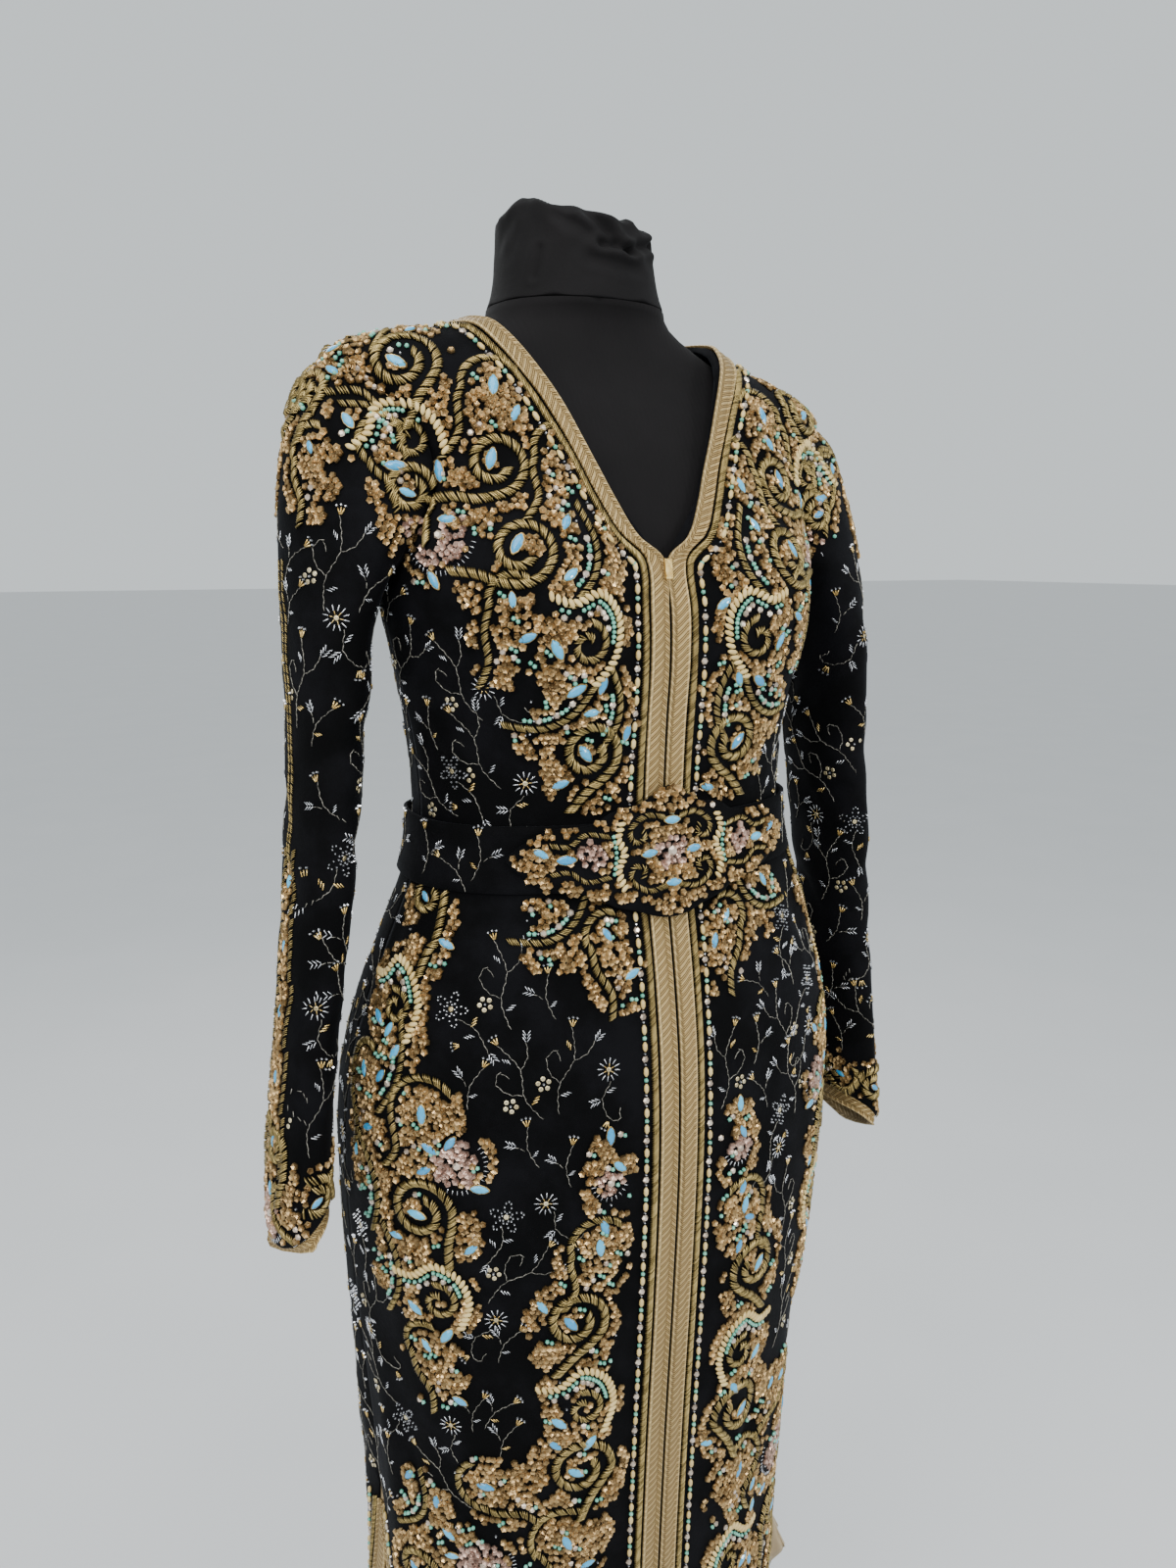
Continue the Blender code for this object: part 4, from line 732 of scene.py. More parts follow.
# The beads, each form turned once. Sizes are in millimetres, and a profile's rows are (radius,
# height). Long ones lie on their side once they are sewn down.
def turned_bead(sides, profile):
    """A bead turned from its profile, as an array of points and one of triangles.

    Extrude gives its faces in another order from run to run, so the triangles are sorted.
    """
    (radius, height), *rest = profile
    bpy.ops.object.select_all(action="DESELECT")
    bpy.ops.mesh.primitive_circle_add(vertices=sides, radius=radius, fill_type="NGON")
    bead = bpy.context.object
    bpy.ops.object.mode_set(mode="EDIT")
    bpy.ops.mesh.select_all(action="SELECT")
    bpy.ops.transform.translate(value=(0, 0, height))
    for wider, higher in rest:
        lift = {"value": (0, 0, higher - height)}
        bpy.ops.mesh.extrude_region_move(TRANSFORM_OT_translate=lift)
        ratio = wider / radius
        bpy.ops.transform.resize(value=(ratio, ratio, 1), center_override=(0, 0, higher))
        radius, height = wider, higher
    bpy.ops.mesh.select_all(action="SELECT")
    bpy.ops.mesh.normals_make_consistent(inside=False)
    bpy.ops.mesh.quads_convert_to_tris()
    bpy.ops.object.mode_set(mode="OBJECT")
    points = np.array([v.co[:] for v in bead.data.vertices])
    corners = [p.vertices[:] for p in bead.data.polygons]
    triangles = np.array(sorted(min(c[k:] + c[:k] for k in range(3)) for c in corners))
    bpy.data.objects.remove(bead)
    return points, triangles


def laid_down(bead, rise, arch=0.0):
    """A long bead on its side: its length along X, lifted to rest, and arched if it is slack."""
    points, triangles = bead
    half = points[:, 2].max() / 2
    length = points[:, 2] - half
    up = points[:, 1] + rise + arch * (1 - (length / half) ** 2)
    return np.stack([length, -points[:, 0], up], axis=1), triangles


def pointed(bead, half_length, half_width):
    """A round bead drawn out to a pointed oval."""
    points, triangles = bead
    reach = np.hypot(points[:, 0], points[:, 1])
    turn = np.arctan2(points[:, 1], points[:, 0])
    narrow = np.sin(turn) * np.abs(np.sin(turn)) ** 0.45
    x = reach * np.cos(turn) * half_length
    return np.stack([x, reach * narrow * half_width, points[:, 2]], axis=1), triangles


BEADS = {
    "rope": laid_down(turned_bead(3, [(0.6, 0), (1.0, 2.3), (1.0, 6.5), (0.6, 8.8)]), 0.4, 2.4),
    "cup": turned_bead(5, [(2.9, 0), (2.6, 2.0), (0.7, 0.7)]),
    "cream": laid_down(turned_bead(6, [(0.7, 0), (1.8, 1.9), (1.8, 5.1), (0.7, 7)]), 1.5),
    "turquoise": turned_bead(5, [(1.2, 0), (1.9, 1.5), (0.9, 3.1)]),
    "crystal": turned_bead(6, [(2.5, 0), (2.6, 1.3), (1.5, 2.5)]),
    "opal": pointed(turned_bead(10, [(1.0, 0.6), (1.0, 1.6), (0.66, 2.7), (0.30, 3.1)]), 7.4, 3.4),
    "setting": pointed(turned_bead(10, [(1.14, 0), (1.16, 1.3), (1.0, 1.9), (0.98, 0.8)]), 7.4, 3.5),
    "seed": turned_bead(4, [(1.05, 0), (0.6, 1.6)]),
    "stitch": laid_down(turned_bead(3, [(0.42, 0), (0.42, 3.7)]), 0.25),
    "bugle": laid_down(turned_bead(4, [(0.62, 0), (0.62, 4.6)]), 0.5),
    "silver_bugle": laid_down(turned_bead(3, [(0.62, 0), (0.62, 4.2)]), 0.35),
    "sequin": turned_bead(7, [(2.1, 0), (2.0, 0.6), (0.6, 0.2)]),
}
BEADS["cup_rose"] = BEADS["cup"]


def bead_finish(name, low, high, metallic, roughness, coat=0.0, glow=0.12):
    """Glass or metal, its colour running from bead to bead, with painted shade in its hollows."""
    finish = Finish(name, Metallic=metallic, Coat_Weight=coat, Coat_Roughness=0.08)
    tone = finish.node("Attribute", {"attribute_name": "tone"}, {}, "Fac")
    # Painted shade: each point's height up its bead, so the bead is darker at its foot and in its hollow.
    deep = finish.node("Attribute", {"attribute_name": "deep"}, {}, "Fac")
    streak = finish.noise(420.0, 3.0)
    mix = (tone * 0.65 + streak * 0.5 - 0.1).clipped()
    # The painted shade's colour: a quarter of the low colour.
    painted_shade = tuple(c * 0.25 for c in low)
    body = finish.colours(mix, low, high)
    finish.feed("Base Color", finish.colours(deep.between(0.0, 0.55), painted_shade, body))
    finish.feed("Roughness", roughness + tone * glow)
    finish.bump(streak, 0.0002, 0.35)
    return finish


BEAD_FINISHES = {
    "rope": bead_finish("beads_old_gold", (0.095, 0.066, 0.016), (0.56, 0.42, 0.17), 0.75, 0.24),
    "cup": bead_finish("beads_copper_gold", (0.12, 0.070, 0.026), (0.60, 0.405, 0.185), 0.8, 0.20),
    "cup_rose": bead_finish("beads_rose_silver", (0.20, 0.120, 0.090), (0.66, 0.46, 0.37), 0.75, 0.22),
    "cream": bead_finish("beads_cream", (0.52, 0.36, 0.125), (0.72, 0.56, 0.25), 0.0, 0.36, 0.12),
    "turquoise": bead_finish("beads_turquoise", (0.07, 0.30, 0.21), (0.22, 0.56, 0.43), 0.0, 0.26, 0.4),
    "crystal": bead_finish("stones_champagne", (0.24, 0.17, 0.12), (0.80, 0.68, 0.55), 0.6, 0.08, 0.6),
    "opal": bead_finish("stones_opal_blue", (0.01, 0.22, 0.48), (0.08, 0.50, 0.76), 0.0, 0.08, 0.6),
    "setting": bead_finish("settings_gold", (0.16, 0.10, 0.03), (0.55, 0.40, 0.16), 0.9, 0.25),
    "seed": bead_finish("beads_silver", (0.42, 0.43, 0.46), (0.92, 0.93, 0.96), 0.8, 0.16),
    "stitch": bead_finish("thread_grey_metal", (0.09, 0.085, 0.075), (0.38, 0.36, 0.31), 0.6, 0.34),
    "bugle": bead_finish("bugles_gold", (0.46, 0.29, 0.08), (0.95, 0.72, 0.32), 0.85, 0.16),
    "sequin": bead_finish("sequins_pale_gold", (0.40, 0.31, 0.15), (0.86, 0.76, 0.50), 0.7, 0.2),
}
BEAD_FINISHES["silver_bugle"] = BEAD_FINISHES["seed"]
METAL_BEADS = {"rope", "cup", "cup_rose", "setting", "bugle", "sequin", "seed", "stitch", "silver_bugle"}
FACETED_BEADS = {"opal", "crystal", "cup", "cup_rose", "seed"}


# The beadwork, sewn by hand on the velvet before it is made up. The layout is a general one of
# scrolls, drops, leaves and flowers, in the real dress's colours, sizes and dense places. Each
# ground is a piece of velvet, with what lies on it kept clear.
class Ground:
    """Velvet to sew on, and the trims that no bead lies on."""

    def __init__(self, name, cloths, trims):
        self.name = name
        self.tree = self.joined(cloths)
        self.trims = self.joined(trims) if trims else None

    def joined(self, pieces):
        points, faces = [], []
        for piece in pieces:
            first = len(points)
            points += [v.co.copy() for v in piece.data.vertices]
            faces += [[first + k for k in p.vertices] for p in piece.data.polygons]
        return BVHTree.FromPolygons(points, faces)

    def meets_trim(self, point, room):
        return self.trims is not None and self.trims.find_nearest(point, room)[0] is not None


class Spot:
    """A working place on a ground: its middle, with the directions across it, up it and out."""

    def __init__(self, ground, point, side, turn=0.0, outward=None, upward=None):
        self.ground = ground
        self.found = False
        outward = outward or Vector((point.x, point.y - 0.01, 0)).normalized()
        hit = ground.tree.ray_cast(point + outward * 0.022, -outward, 0.06)
        if hit[0] is None:
            hit = ground.tree.find_nearest(point + outward * 0.004)
        if hit[0] is None:
            return
        self.found = True
        self.middle = hit[0]
        self.out = hit[1] if hit[1].dot(outward) > 0 else -hit[1]
        upward = upward or Vector((0, 0, 1))
        if abs(self.out.z) > 0.92 and upward.z > 0.9:
            upward = Vector((-self.middle.x, 0, 0.4)).normalized()
        up = (upward - self.out * upward.dot(self.out)).normalized()
        across = up.cross(self.out) * side
        angle = math.radians(turn)
        self.up = up * math.cos(angle) + across * math.sin(angle)
        self.across = across * math.cos(angle) - up * math.sin(angle)

    def press(self, a, b):
        """The place on the velvet under a point given in millimetres."""
        start = self.middle + (self.across * a + self.up * b) * 0.001 + self.out * 0.02
        place, out, _, _ = self.ground.tree.ray_cast(start, -self.out, 0.055)
        if place is None or abs(out.dot(self.out)) < 0.2:
            return None
        return place, out if out.dot(self.out) > 0 else -out


CELL = 0.004
laid = {}
cells = {}


def take_up(place):
    """Marks a place on the velvet as taken."""
    cells.setdefault(tuple(math.floor(c / CELL) for c in place), []).append(place)


def is_free(place, room):
    """Whether no bead's middle lies nearer than this."""
    reach = math.ceil(room / CELL)
    home = [math.floor(c / CELL) for c in place]
    for i in range(-reach, reach + 1):
        for j in range(-reach, reach + 1):
            for k in range(-reach, reach + 1):
                for other in cells.get((home[0] + i, home[1] + j, home[2] + k), ()):
                    if (other - place).length < room:
                        return False
    return True


def sew(spot, kind, a, b, angle=0.0, size=1.0, room=0.0, trim=0.0028):
    """One bead sewn down, its length along the angle. It is left out where there is no room."""
    found = spot.press(a, b)
    if found is None:
        return False
    place, out = found
    if spot.ground.meets_trim(place, trim) or (room and not is_free(place, room * 0.001)):
        return False
    along = spot.across * math.cos(angle) + spot.up * math.sin(angle)
    laid.setdefault((spot.ground.name, kind), []).append((place, along, out, size))
    take_up(place)
    return True


def through(points, steps=10):
    """A smooth line through points, as short steps."""
    line = []
    ends = [points[0], *points, points[-1]]
    for a, b, c, d in zip(ends, ends[1:], ends[2:], ends[3:]):
        for k in range(steps):
            t = k / steps
            line.append(
                tuple(
                    b[n]
                    + (c[n] - a[n]) * t / 2
                    + (2 * a[n] - 5 * b[n] + 4 * c[n] - d[n]) * t * t / 2
                    + (3 * b[n] - a[n] - 3 * c[n] + d[n]) * t**3 / 2
                    for n in (0, 1)
                )
            )
    return line + [points[-1]]


def curl(a, b, radius, start, sweep, tight=0.3, steps=44):
    """A spiral that winds in; start and sweep are in degrees."""
    line = []
    for k in range(steps + 1):
        t = k / steps
        angle = math.radians(start + sweep * t)
        reach = radius * (1 - (1 - tight) * t)
        line.append((a + reach * math.cos(angle), b + reach * math.sin(angle)))
    return line


def paced(line, pitch, aside=0.0, first=0.0, last=1.0):
    """Places along a line, a pitch apart, as (a, b, angle). aside is how far to its left."""
    lengths = [0.0]
    for p, q in zip(line, line[1:]):
        lengths.append(lengths[-1] + math.hypot(q[0] - p[0], q[1] - p[1]))
    begin, end = lengths[-1] * first, lengths[-1] * last
    count = max(1, int((end - begin) / pitch))
    k = 0
    for step in range(count + 1):
        at = begin + (end - begin) * step / count
        while k < len(line) - 2 and lengths[k + 1] < at:
            k += 1
        span = max(1e-9, lengths[k + 1] - lengths[k])
        t = (at - lengths[k]) / span
        p, q = line[k], line[k + 1]
        angle = math.atan2(q[1] - p[1], q[0] - p[0])
        a = p[0] + (q[0] - p[0]) * t - aside * math.sin(angle)
        b = p[1] + (q[1] - p[1]) * t + aside * math.cos(angle)
        yield a, b, angle


# In millimetres: a rope's pitch and full width, and the share of it where its edges lie.
ROPE_SLANT = 0.90
ROPE_PITCH = 1.45
ROPE_WIDTH = 8.8
ROPE_EDGE = 0.34
# In metres: between two stones, and along the ropes beside the braid and down the sleeves.
STONES_APART = 0.0115
BORDER_STEP = 0.0004
THIN_ROPE_PITCH = 0.00135
chance = random.Random(11)


def rope(spot, line, width=ROPE_WIDTH, room=2.2):
    """Slanted bugles side by side over a cord, with both its edges kept clear of other beads."""
    for index, (a, b, angle) in enumerate(paced(line, ROPE_PITCH)):
        lean = angle + ROPE_SLANT + chance.uniform(-0.06, 0.06)
        sewn = sew(spot, "rope", a, b, lean, width / ROPE_WIDTH, room if index % 5 == 0 else 0)
        for aside in (-ROPE_EDGE, ROPE_EDGE) if sewn and index % 2 == 0 else ():
            edge = spot.press(a - aside * width * math.sin(angle), b + aside * width * math.cos(angle))
            if edge:
                take_up(edge[0])


def stone(spot, a, b, angle, size=1.0, room=4.3):
    """A pointed opal stone in its gold setting, clear of the other stones."""
    found = spot.press(a, b)
    others = laid.get((spot.ground.name, "opal"), ())
    if found is None or any((found[0] - other[0]).length < STONES_APART for other in others):
        return False
    if not sew(spot, "setting", a, b, angle, size, room, 0.006):
        return False
    return sew(spot, "opal", a, b, angle, size)


def bead_line(spot, line, kinds, aside=0.0, first=0.0, last=1.0):
    """Beads strung one after another, each kind with its own length."""
    lengths = {"cream": 7.6, "turquoise": 3.6, "crystal": 5.2, "seed": 2.2}
    places = list(paced(line, 0.4, aside, first, last))
    at, index = 0.0, 0
    while True:
        kind = kinds[index % len(kinds)]
        middle = int((at + lengths[kind] / 2) / 0.4)
        if middle >= len(places):
            return
        a, b, angle = places[middle]
        sew(spot, kind, a, b, angle, 1.0)
        at += lengths[kind]
        index += 1


def cream_wave(spot, line):
    """A row of slanted cream beads, with turquoise and crystals behind it."""
    for a, b, angle in paced(line, 4.2):
        sew(spot, "cream", a, b, angle + 1.05, 1.0)
    for a, b, angle in paced(line, 3.5, -5.4, 0.30, 0.92):
        sew(spot, "turquoise", a, b, angle, 0.95, 2.6)
    for a, b, angle in paced(line, 5.4, -9.6, 0.40, 0.90):
        sew(spot, "crystal", a, b, angle, 0.95, 3.6)


waiting_fills = []


def fill(spot, outline, kind="cup"):
    """A shape to be filled with cup beads, once all lines and stones are sewn."""
    waiting_fills.append((spot, outline, kind))


def is_within(outline, a, b):
    inside = False
    for (x1, y1), (x2, y2) in zip(outline, outline[1:] + outline[:1]):
        if (y1 > b) != (y2 > b) and a < (x2 - x1) * (b - y1) / (y2 - y1) + x1:
            inside = not inside
    return inside


CUP_PITCH = 4.1


def cup_places(low, high):
    """Places in staggered rows between two corners, a cup's pitch apart."""
    row, b = 0, low[1]
    while b < high[1]:
        a = low[0] + (row % 2) * CUP_PITCH / 2
        while a < high[0]:
            yield a, b
            a += CUP_PITCH
        b += CUP_PITCH * 0.87
        row += 1


def sew_fills():
    while waiting_fills:
        spot, outline, kind = waiting_fills.pop(0)
        low = [min(p[n] for p in outline) for n in (0, 1)]
        high = [max(p[n] for p in outline) for n in (0, 1)]
        for a, b in cup_places(low, high):
            x, y = a + chance.uniform(-0.7, 0.7), b + chance.uniform(-0.7, 0.7)
            if is_within(outline, x, y):
                sew(spot, kind, x, y, chance.uniform(0, 6), chance.uniform(0.86, 1.08), 3.2, 0.0035)


def dot(spot, length, width, stones=1):
    """Stones, and pairs of turquoise beads and crystals, where a motif still has room for them."""
    for attempt in range(14):
        a, b = chance.uniform(-1.05, 1.05) * width, chance.uniform(-1.05, 1.05) * length
        if attempt < 5 and stones:
            if stone(spot, a, b, chance.uniform(0, 3.1), 0.85, 5.8):
                stones -= 1
        elif attempt >= 5 and sew(spot, "turquoise", a, b, 0, 0.95, 4.2, 0.004):
            sew(spot, chance.choice(("turquoise", "crystal")), a + 3.2, b + 1.2, 0, 0.95, 2.4, 0.004)


# What is strewn between the cups, each with the room it needs in millimetres.
SCATTERED_BEADS = [("crystal", 5.4), ("turquoise", 4.4), ("seed", 3.6), ("seed", 3.6)]


def grow(spot, length, width, bare=-0.06):
    """Cups in uneven patches over the velvet left bare round a motif, and small beads between."""
    reach_a, reach_b = width * 1.15 + 7, length * 1.10 + 3
    for a, b in cup_places((-reach_a, -reach_b), (reach_a, reach_b)):
        if (a / reach_a) ** 2 + (b / reach_b) ** 2 < 1:
            found = spot.press(a, b)
            if found and noise.noise(found[0] * 52) > bare:
                sew(spot, "cup", a, b, chance.uniform(0, 6), chance.uniform(0.86, 1.06), 3.3, 0.0045)
    for _ in range(int(length * width / 26)):
        a, b = chance.uniform(-reach_a, reach_a), chance.uniform(-reach_b, reach_b)
        if (a / reach_a) ** 2 + (b / reach_b) ** 2 < 0.9:
            kind, room = chance.choice(SCATTERED_BEADS)
            sew(spot, kind, a, b, 0, 0.95, room, 0.004)


# A fifth of a turn, in radians.
PETAL_TURN = 1.2566


def scaled(points, half_width, half_length):
    return [(x * half_width, y * half_length) for x, y in points]


def scroll(spot, length, width):
    """A rope scroll on a stem, with a stone in its eye and a leaf of cups behind it."""
    eye = length - width * 0.92
    stem = through(scaled([(0.55, -1.05), (0.05, -0.62), (-0.55, -0.28)], width, length))
    head = curl(0, eye, width * 0.95, 205, -410, 0.42)
    rope(spot, through([*stem[::6], *head[::4]], 5))
    stone(spot, width * 0.16, eye - width * 0.02, 0.9, min(1, width / 22))
    for turn in (236, 262, 288):
        x, y = width * 0.50 * math.cos(math.radians(turn)), width * 0.50 * math.sin(math.radians(turn))
        sew(spot, "turquoise" if turn < 280 else "seed", x, eye + y, 0, 1, 2.4)
    blade = [(-0.75, -0.15), (-1.15, -0.45), (-0.95, -0.85)]
    blade += [(-0.35, -1.08), (0.30, -0.98), (-0.15, -0.66)]
    fill(spot, through(scaled(blade, width, length), 4))
    crown = curl(0, eye, width * 1.15, 150, -160, 1.0) + curl(0, eye, width * 1.55, -10, 160, 1.0)
    fill(spot, crown)


def drop(spot, length, width):
    """A drop filled with cups, a stone in its head and a rope down one side."""
    head = length - width
    rounded = curl(0, head, width * 0.98, -15, 215, 1.0, 14)
    around = curl(0, head, width * 1.06, 120, -150, 1.0, 8)
    tail = [(-0.95, -0.10), (-0.50, -0.62), (0.45, -1.05), (0.30, -0.55), (0.78, -0.05)]
    side = scaled([(0.86, -0.10), (0.42, -0.62), (0.60, -1.12)], width, length)
    rope(spot, through([*around, *side], 6), 7.4)
    stone(spot, 0, head, 1.2, min(1, width / 20))
    for step in range(3):
        sew(spot, "crystal", -width * (0.1 - 0.16 * step), -length * (0.35 + 0.2 * step), 0, 0.9, 3.0)
    fill(spot, rounded + scaled(tail, width, length))


def wave(spot, length, width):
    """A cream wave over a small rope curl, with two stones and a leaf below."""
    line = [(-0.80, -0.75), (-1.08, -0.10), (-0.80, 0.58), (-0.05, 0.88), (0.62, 0.52), (1.25, 0.50)]
    cream_wave(spot, through(scaled(line, width, length)))
    rope(spot, curl(-width * 0.15, -length * 0.10, width * 0.60, 80, 400, 0.30), 7.2)
    stone(spot, width * 0.62, -length * 0.38, 0.7, min(1, width / 20))
    stone(spot, -width * 0.35, -length * 1.0, 2.2, min(1, width / 22))
    blade = [(-0.10, -0.70), (0.20, -1.15), (0.75, -1.05), (1.05, -0.55)]
    blade += [(1.15, 0.05), (0.85, 0.25), (0.35, -0.55)]
    fill(spot, through(scaled(blade, width, length), 4))


def flower(spot, length, width):
    """A flower of rose-silver cups round a crystal, with a stone at each end."""
    reach = min(length, width) * 0.95
    sew(spot, "crystal", 0, 0, 0, 1.2)
    for petal in range(5):
        angle = petal * PETAL_TURN + 0.3
        a, b = reach * 0.56 * math.cos(angle), reach * 0.56 * math.sin(angle)
        fill(spot, curl(a, b, reach * 0.46, 0, 360, 1.0, 12), "cup_rose")
    stone(spot, 0, length * 1.02, 1.57, 0.9)
    stone(spot, width * 0.35, -length * 0.98, 1.2, 0.9)
    for a, b, angle in paced(curl(0, 0, reach * 1.12, 200, 150, 1.0), 3.4):
        sew(spot, "silver_bugle", a, b, angle + 1.57, 0.8, 2.2)


def leaf(spot, length, width):
    """A long bent leaf of cups with a rope spine, and a beaded edge."""
    spine = through(scaled([(0.70, -1.10), (-0.10, -0.45), (-0.15, 0.25), (0.55, 1.0)], width, length))
    rope(spot, spine, 6.6)
    side = [(0.60, -1.0), (-0.75, -0.60), (-1.15, 0.10), (-0.45, 0.85), (0.50, 1.05)]
    fill(spot, through(scaled(side, width, length), 5) + spine[::-6])
    bead_line(spot, spine, ["turquoise", "turquoise", "seed", "crystal"], -6.0, 0.15, 0.70)
    stone(spot, width * 0.95, length * 0.55, 1.9, 0.85)


def strap(spot, length, width):
    """A short length of a straight band: cups between two ropes, with a stone in the middle."""
    for side in (-1, 1):
        edge = [(side * width, -length), (side * width * 1.06, 0), (side * width, length)]
        rope(spot, through(edge, 6), 5.4)
    stone(spot, 0, 0, 1.57, 0.75)
    fill(spot, scaled([(-0.9, -1), (-0.9, 1), (0.9, 1), (0.9, -1)], width, length))


def pressed_border(ground, chain_out, chain_in, side, first=0.0, last=1.0):
    """A rope and a line of beads on the velvet beside a trim, along its outer edge."""
    strung = ["cream", "turquoise", "cream", "seed", "crystal", "seed"]
    gaps = {"cream": 7.8, "turquoise": 3.7, "crystal": 5.4, "seed": 2.3}
    length = sum((a[0] - b[0]).length for a, b in zip(chain_out, chain_out[1:]))
    steps = int(length / BORDER_STEP)
    next_rope, next_bead, index, run, last_point = 0.0, 0.0, 0, 0.0, None
    for step in range(steps):
        share = step / steps
        point, out = on_chain(chain_out, share, False)
        following, _ = on_chain(chain_out, min(1, share + 0.002), False)
        run += (point - last_point).length if last_point else 0
        last_point = point
        if not first <= share <= last or (run < next_rope and run < next_bead):
            continue
        beside = min(chain_in, key=lambda pair: (pair[0] - point).length)[0]
        forward = (following - point).normalized()
        away = (point - beside) - forward * (point - beside).dot(forward)
        away = (away - out * away.dot(out)).normalized()
        spot = Spot(ground, point + away * 0.010, side, 0, out, forward)
        if not spot.found:
            continue
        spot.across = away
        if run >= next_rope:
            sew(spot, "rope", -5.9, 0, 1.57 - 0.80, 0.86, 0, 0.0015)
            next_rope = run + THIN_ROPE_PITCH
        if run >= next_bead:
            kind = strung[index % len(strung)]
            sew(spot, kind, 1.6, 0, 1.57, 0.98, 0, 0.003)
            index += 1
            next_bead = run + (gaps[kind] + gaps[strung[index % len(strung)]]) / 2000


trims = [*braid_pieces, belt, plate]
body = Ground("body", list(body_cloth.values()), trims)
yoke = Ground("body", [*body_cloth.values(), *sleeve_cloth.values()], trims)
grounds = {
    -1: Ground("sleeve_right", [sleeve_cloth[-1]], braid_pieces),
    1: Ground("sleeve_left", [sleeve_cloth[1]], braid_pieces),
}

# Borders: a rope and a string of cream, turquoise and crystal beads beside the braid, up both
# fronts, round the V and the nape, and a rope alone beside the slits.
for side, word in ((-1, "right"), (1, "left")):
    inner_edge, outer_edge, _ = braid_edges["front_band_" + word]
    pressed_border(body, outer_edge, inner_edge, side)
neck_edges = braid_edges["back_neck_band"][:2]
lower, upper = sorted(neck_edges, key=lambda chain: sum(p[0].z for p in chain) / len(chain))
pressed_border(body, lower, upper, 1)
for name in braid_edges:
    if name.startswith("slit_band"):
        near, far, _ = braid_edges[name]
        chain, other = sorted((near, far), key=lambda c: -abs(sum(p[0].y - SLIT_MIDDLE_Y for p in c)))
        pressed_border(body, chain, other, -1 if "right" in name else 1)

# The fronts' applique. Each row is a place on the right front, the motif's half length and half
# width in millimetres, its turn outwards from upright in degrees, and its design. The left front
# mirrors it on its own lower shoulder.
FRONT_MOTIFS = [
    (-0.157, 0.011, 1.395, 34, 19, 80, leaf),
    (-0.191, -0.012, 1.372, 36, 20, 60, drop),
    (-0.155, -0.039, 1.362, 32, 24, 20, scroll),
    (-0.112, -0.060, 1.342, 36, 20, -25, drop),
    (-0.156, -0.043, 1.318, 30, 22, 35, wave),
    (-0.119, -0.068, 1.298, 34, 22, -50, scroll),
    (-0.071, -0.081, 1.301, 34, 18, -20, drop),
    (-0.144, -0.061, 1.262, 28, 23, 10, flower),
    (-0.186, -0.042, 1.342, 26, 16, 50, leaf),
    (-0.176, -0.050, 1.312, 28, 16, 20, drop),
    (-0.162, -0.056, 1.284, 24, 17, 30, scroll),
    (-0.114, -0.093, 1.248, 34, 24, -60, scroll),
    (-0.059, -0.106, 1.251, 34, 18, -10, leaf),
    (-0.118, -0.099, 1.201, 36, 15, -15, drop),
    (-0.069, -0.117, 1.197, 34, 24, -20, wave),
    (-0.041, -0.106, 1.150, 28, 13, 0, leaf),
    (-0.077, -0.100, 1.146, 34, 17, -60, leaf),
    (-0.057, -0.098, 1.110, 30, 22, 0, scroll),
    (-0.078, -0.101, 1.002, 32, 20, -55, leaf),
    (-0.046, -0.113, 0.975, 34, 15, 10, drop),
    (-0.154, -0.047, 1.000, 34, 16, 15, scroll),
    (-0.177, -0.038, 0.945, 34, 20, 5, wave),
    (-0.181, -0.053, 0.905, 36, 14, -8, leaf),
    (-0.197, -0.024, 0.875, 36, 18, 0, drop),
    (-0.174, -0.069, 0.862, 36, 24, -20, drop),
    (-0.153, -0.088, 0.838, 22, 19, 60, flower),
    (-0.195, -0.034, 0.812, 36, 17, 10, leaf),
    (-0.168, -0.074, 0.792, 34, 25, 40, scroll),
    (-0.185, -0.047, 0.748, 36, 16, 0, leaf),
    (-0.165, -0.070, 0.732, 30, 24, 0, wave),
    (-0.164, -0.063, 0.672, 36, 17, 10, drop),
    (-0.054, -0.125, 0.818, 34, 12, 0, flower),
    (-0.064, -0.120, 0.756, 34, 20, -15, drop),
    (-0.076, -0.114, 0.702, 32, 24, 0, scroll),
    (-0.071, -0.110, 0.640, 34, 24, 0, wave),
    (-0.066, -0.107, 0.576, 32, 26, 20, scroll),
    (-0.121, -0.085, 0.566, 34, 20, 60, drop),
    (-0.076, -0.100, 0.512, 34, 26, 0, drop),
    (-0.132, -0.073, 0.500, 34, 22, 50, flower),
    (-0.168, -0.038, 0.540, 30, 18, -20, leaf),
    (-0.167, -0.030, 0.462, 34, 20, 0, scroll),
    (-0.075, -0.097, 0.436, 34, 24, 0, wave),
    (-0.130, -0.070, 0.424, 34, 22, 40, scroll),
    (-0.096, -0.087, 0.360, 34, 22, 60, drop),
    (-0.151, -0.047, 0.366, 34, 20, 60, scroll),
]
# On the back the yoke alone is worked this closely.
BACK_MOTIFS = [
    (-0.167, 0.029, 1.392, 30, 17, -80, leaf),
    (-0.186, 0.045, 1.368, 32, 19, -50, drop),
    (-0.134, 0.075, 1.366, 30, 20, -60, scroll),
    (-0.064, 0.095, 1.350, 28, 19, -50, wave),
    (-0.096, 0.100, 1.318, 28, 17, -30, drop),
    (-0.030, 0.098, 1.318, 26, 15, -20, flower),
    (-0.026, 0.095, 1.358, 20, 13, 0, scroll),
    (-0.066, 0.104, 1.292, 24, 14, -20, leaf),
]


def left_of(point):
    """A right-hand place mirrored to the left, lower on that shoulder."""
    x, y, z = point
    drop_share = share_of((-x - 0.05) / 0.14) * share_of((z - 1.20) / 0.16)
    return Vector((-x, y, z - 0.022 * drop_share))


def outward_at(point):
    """Out from the body's middle, and more upwards over the shoulder."""
    return (point - Vector((0, 0.02, min(point.z, 1.25)))).normalized()


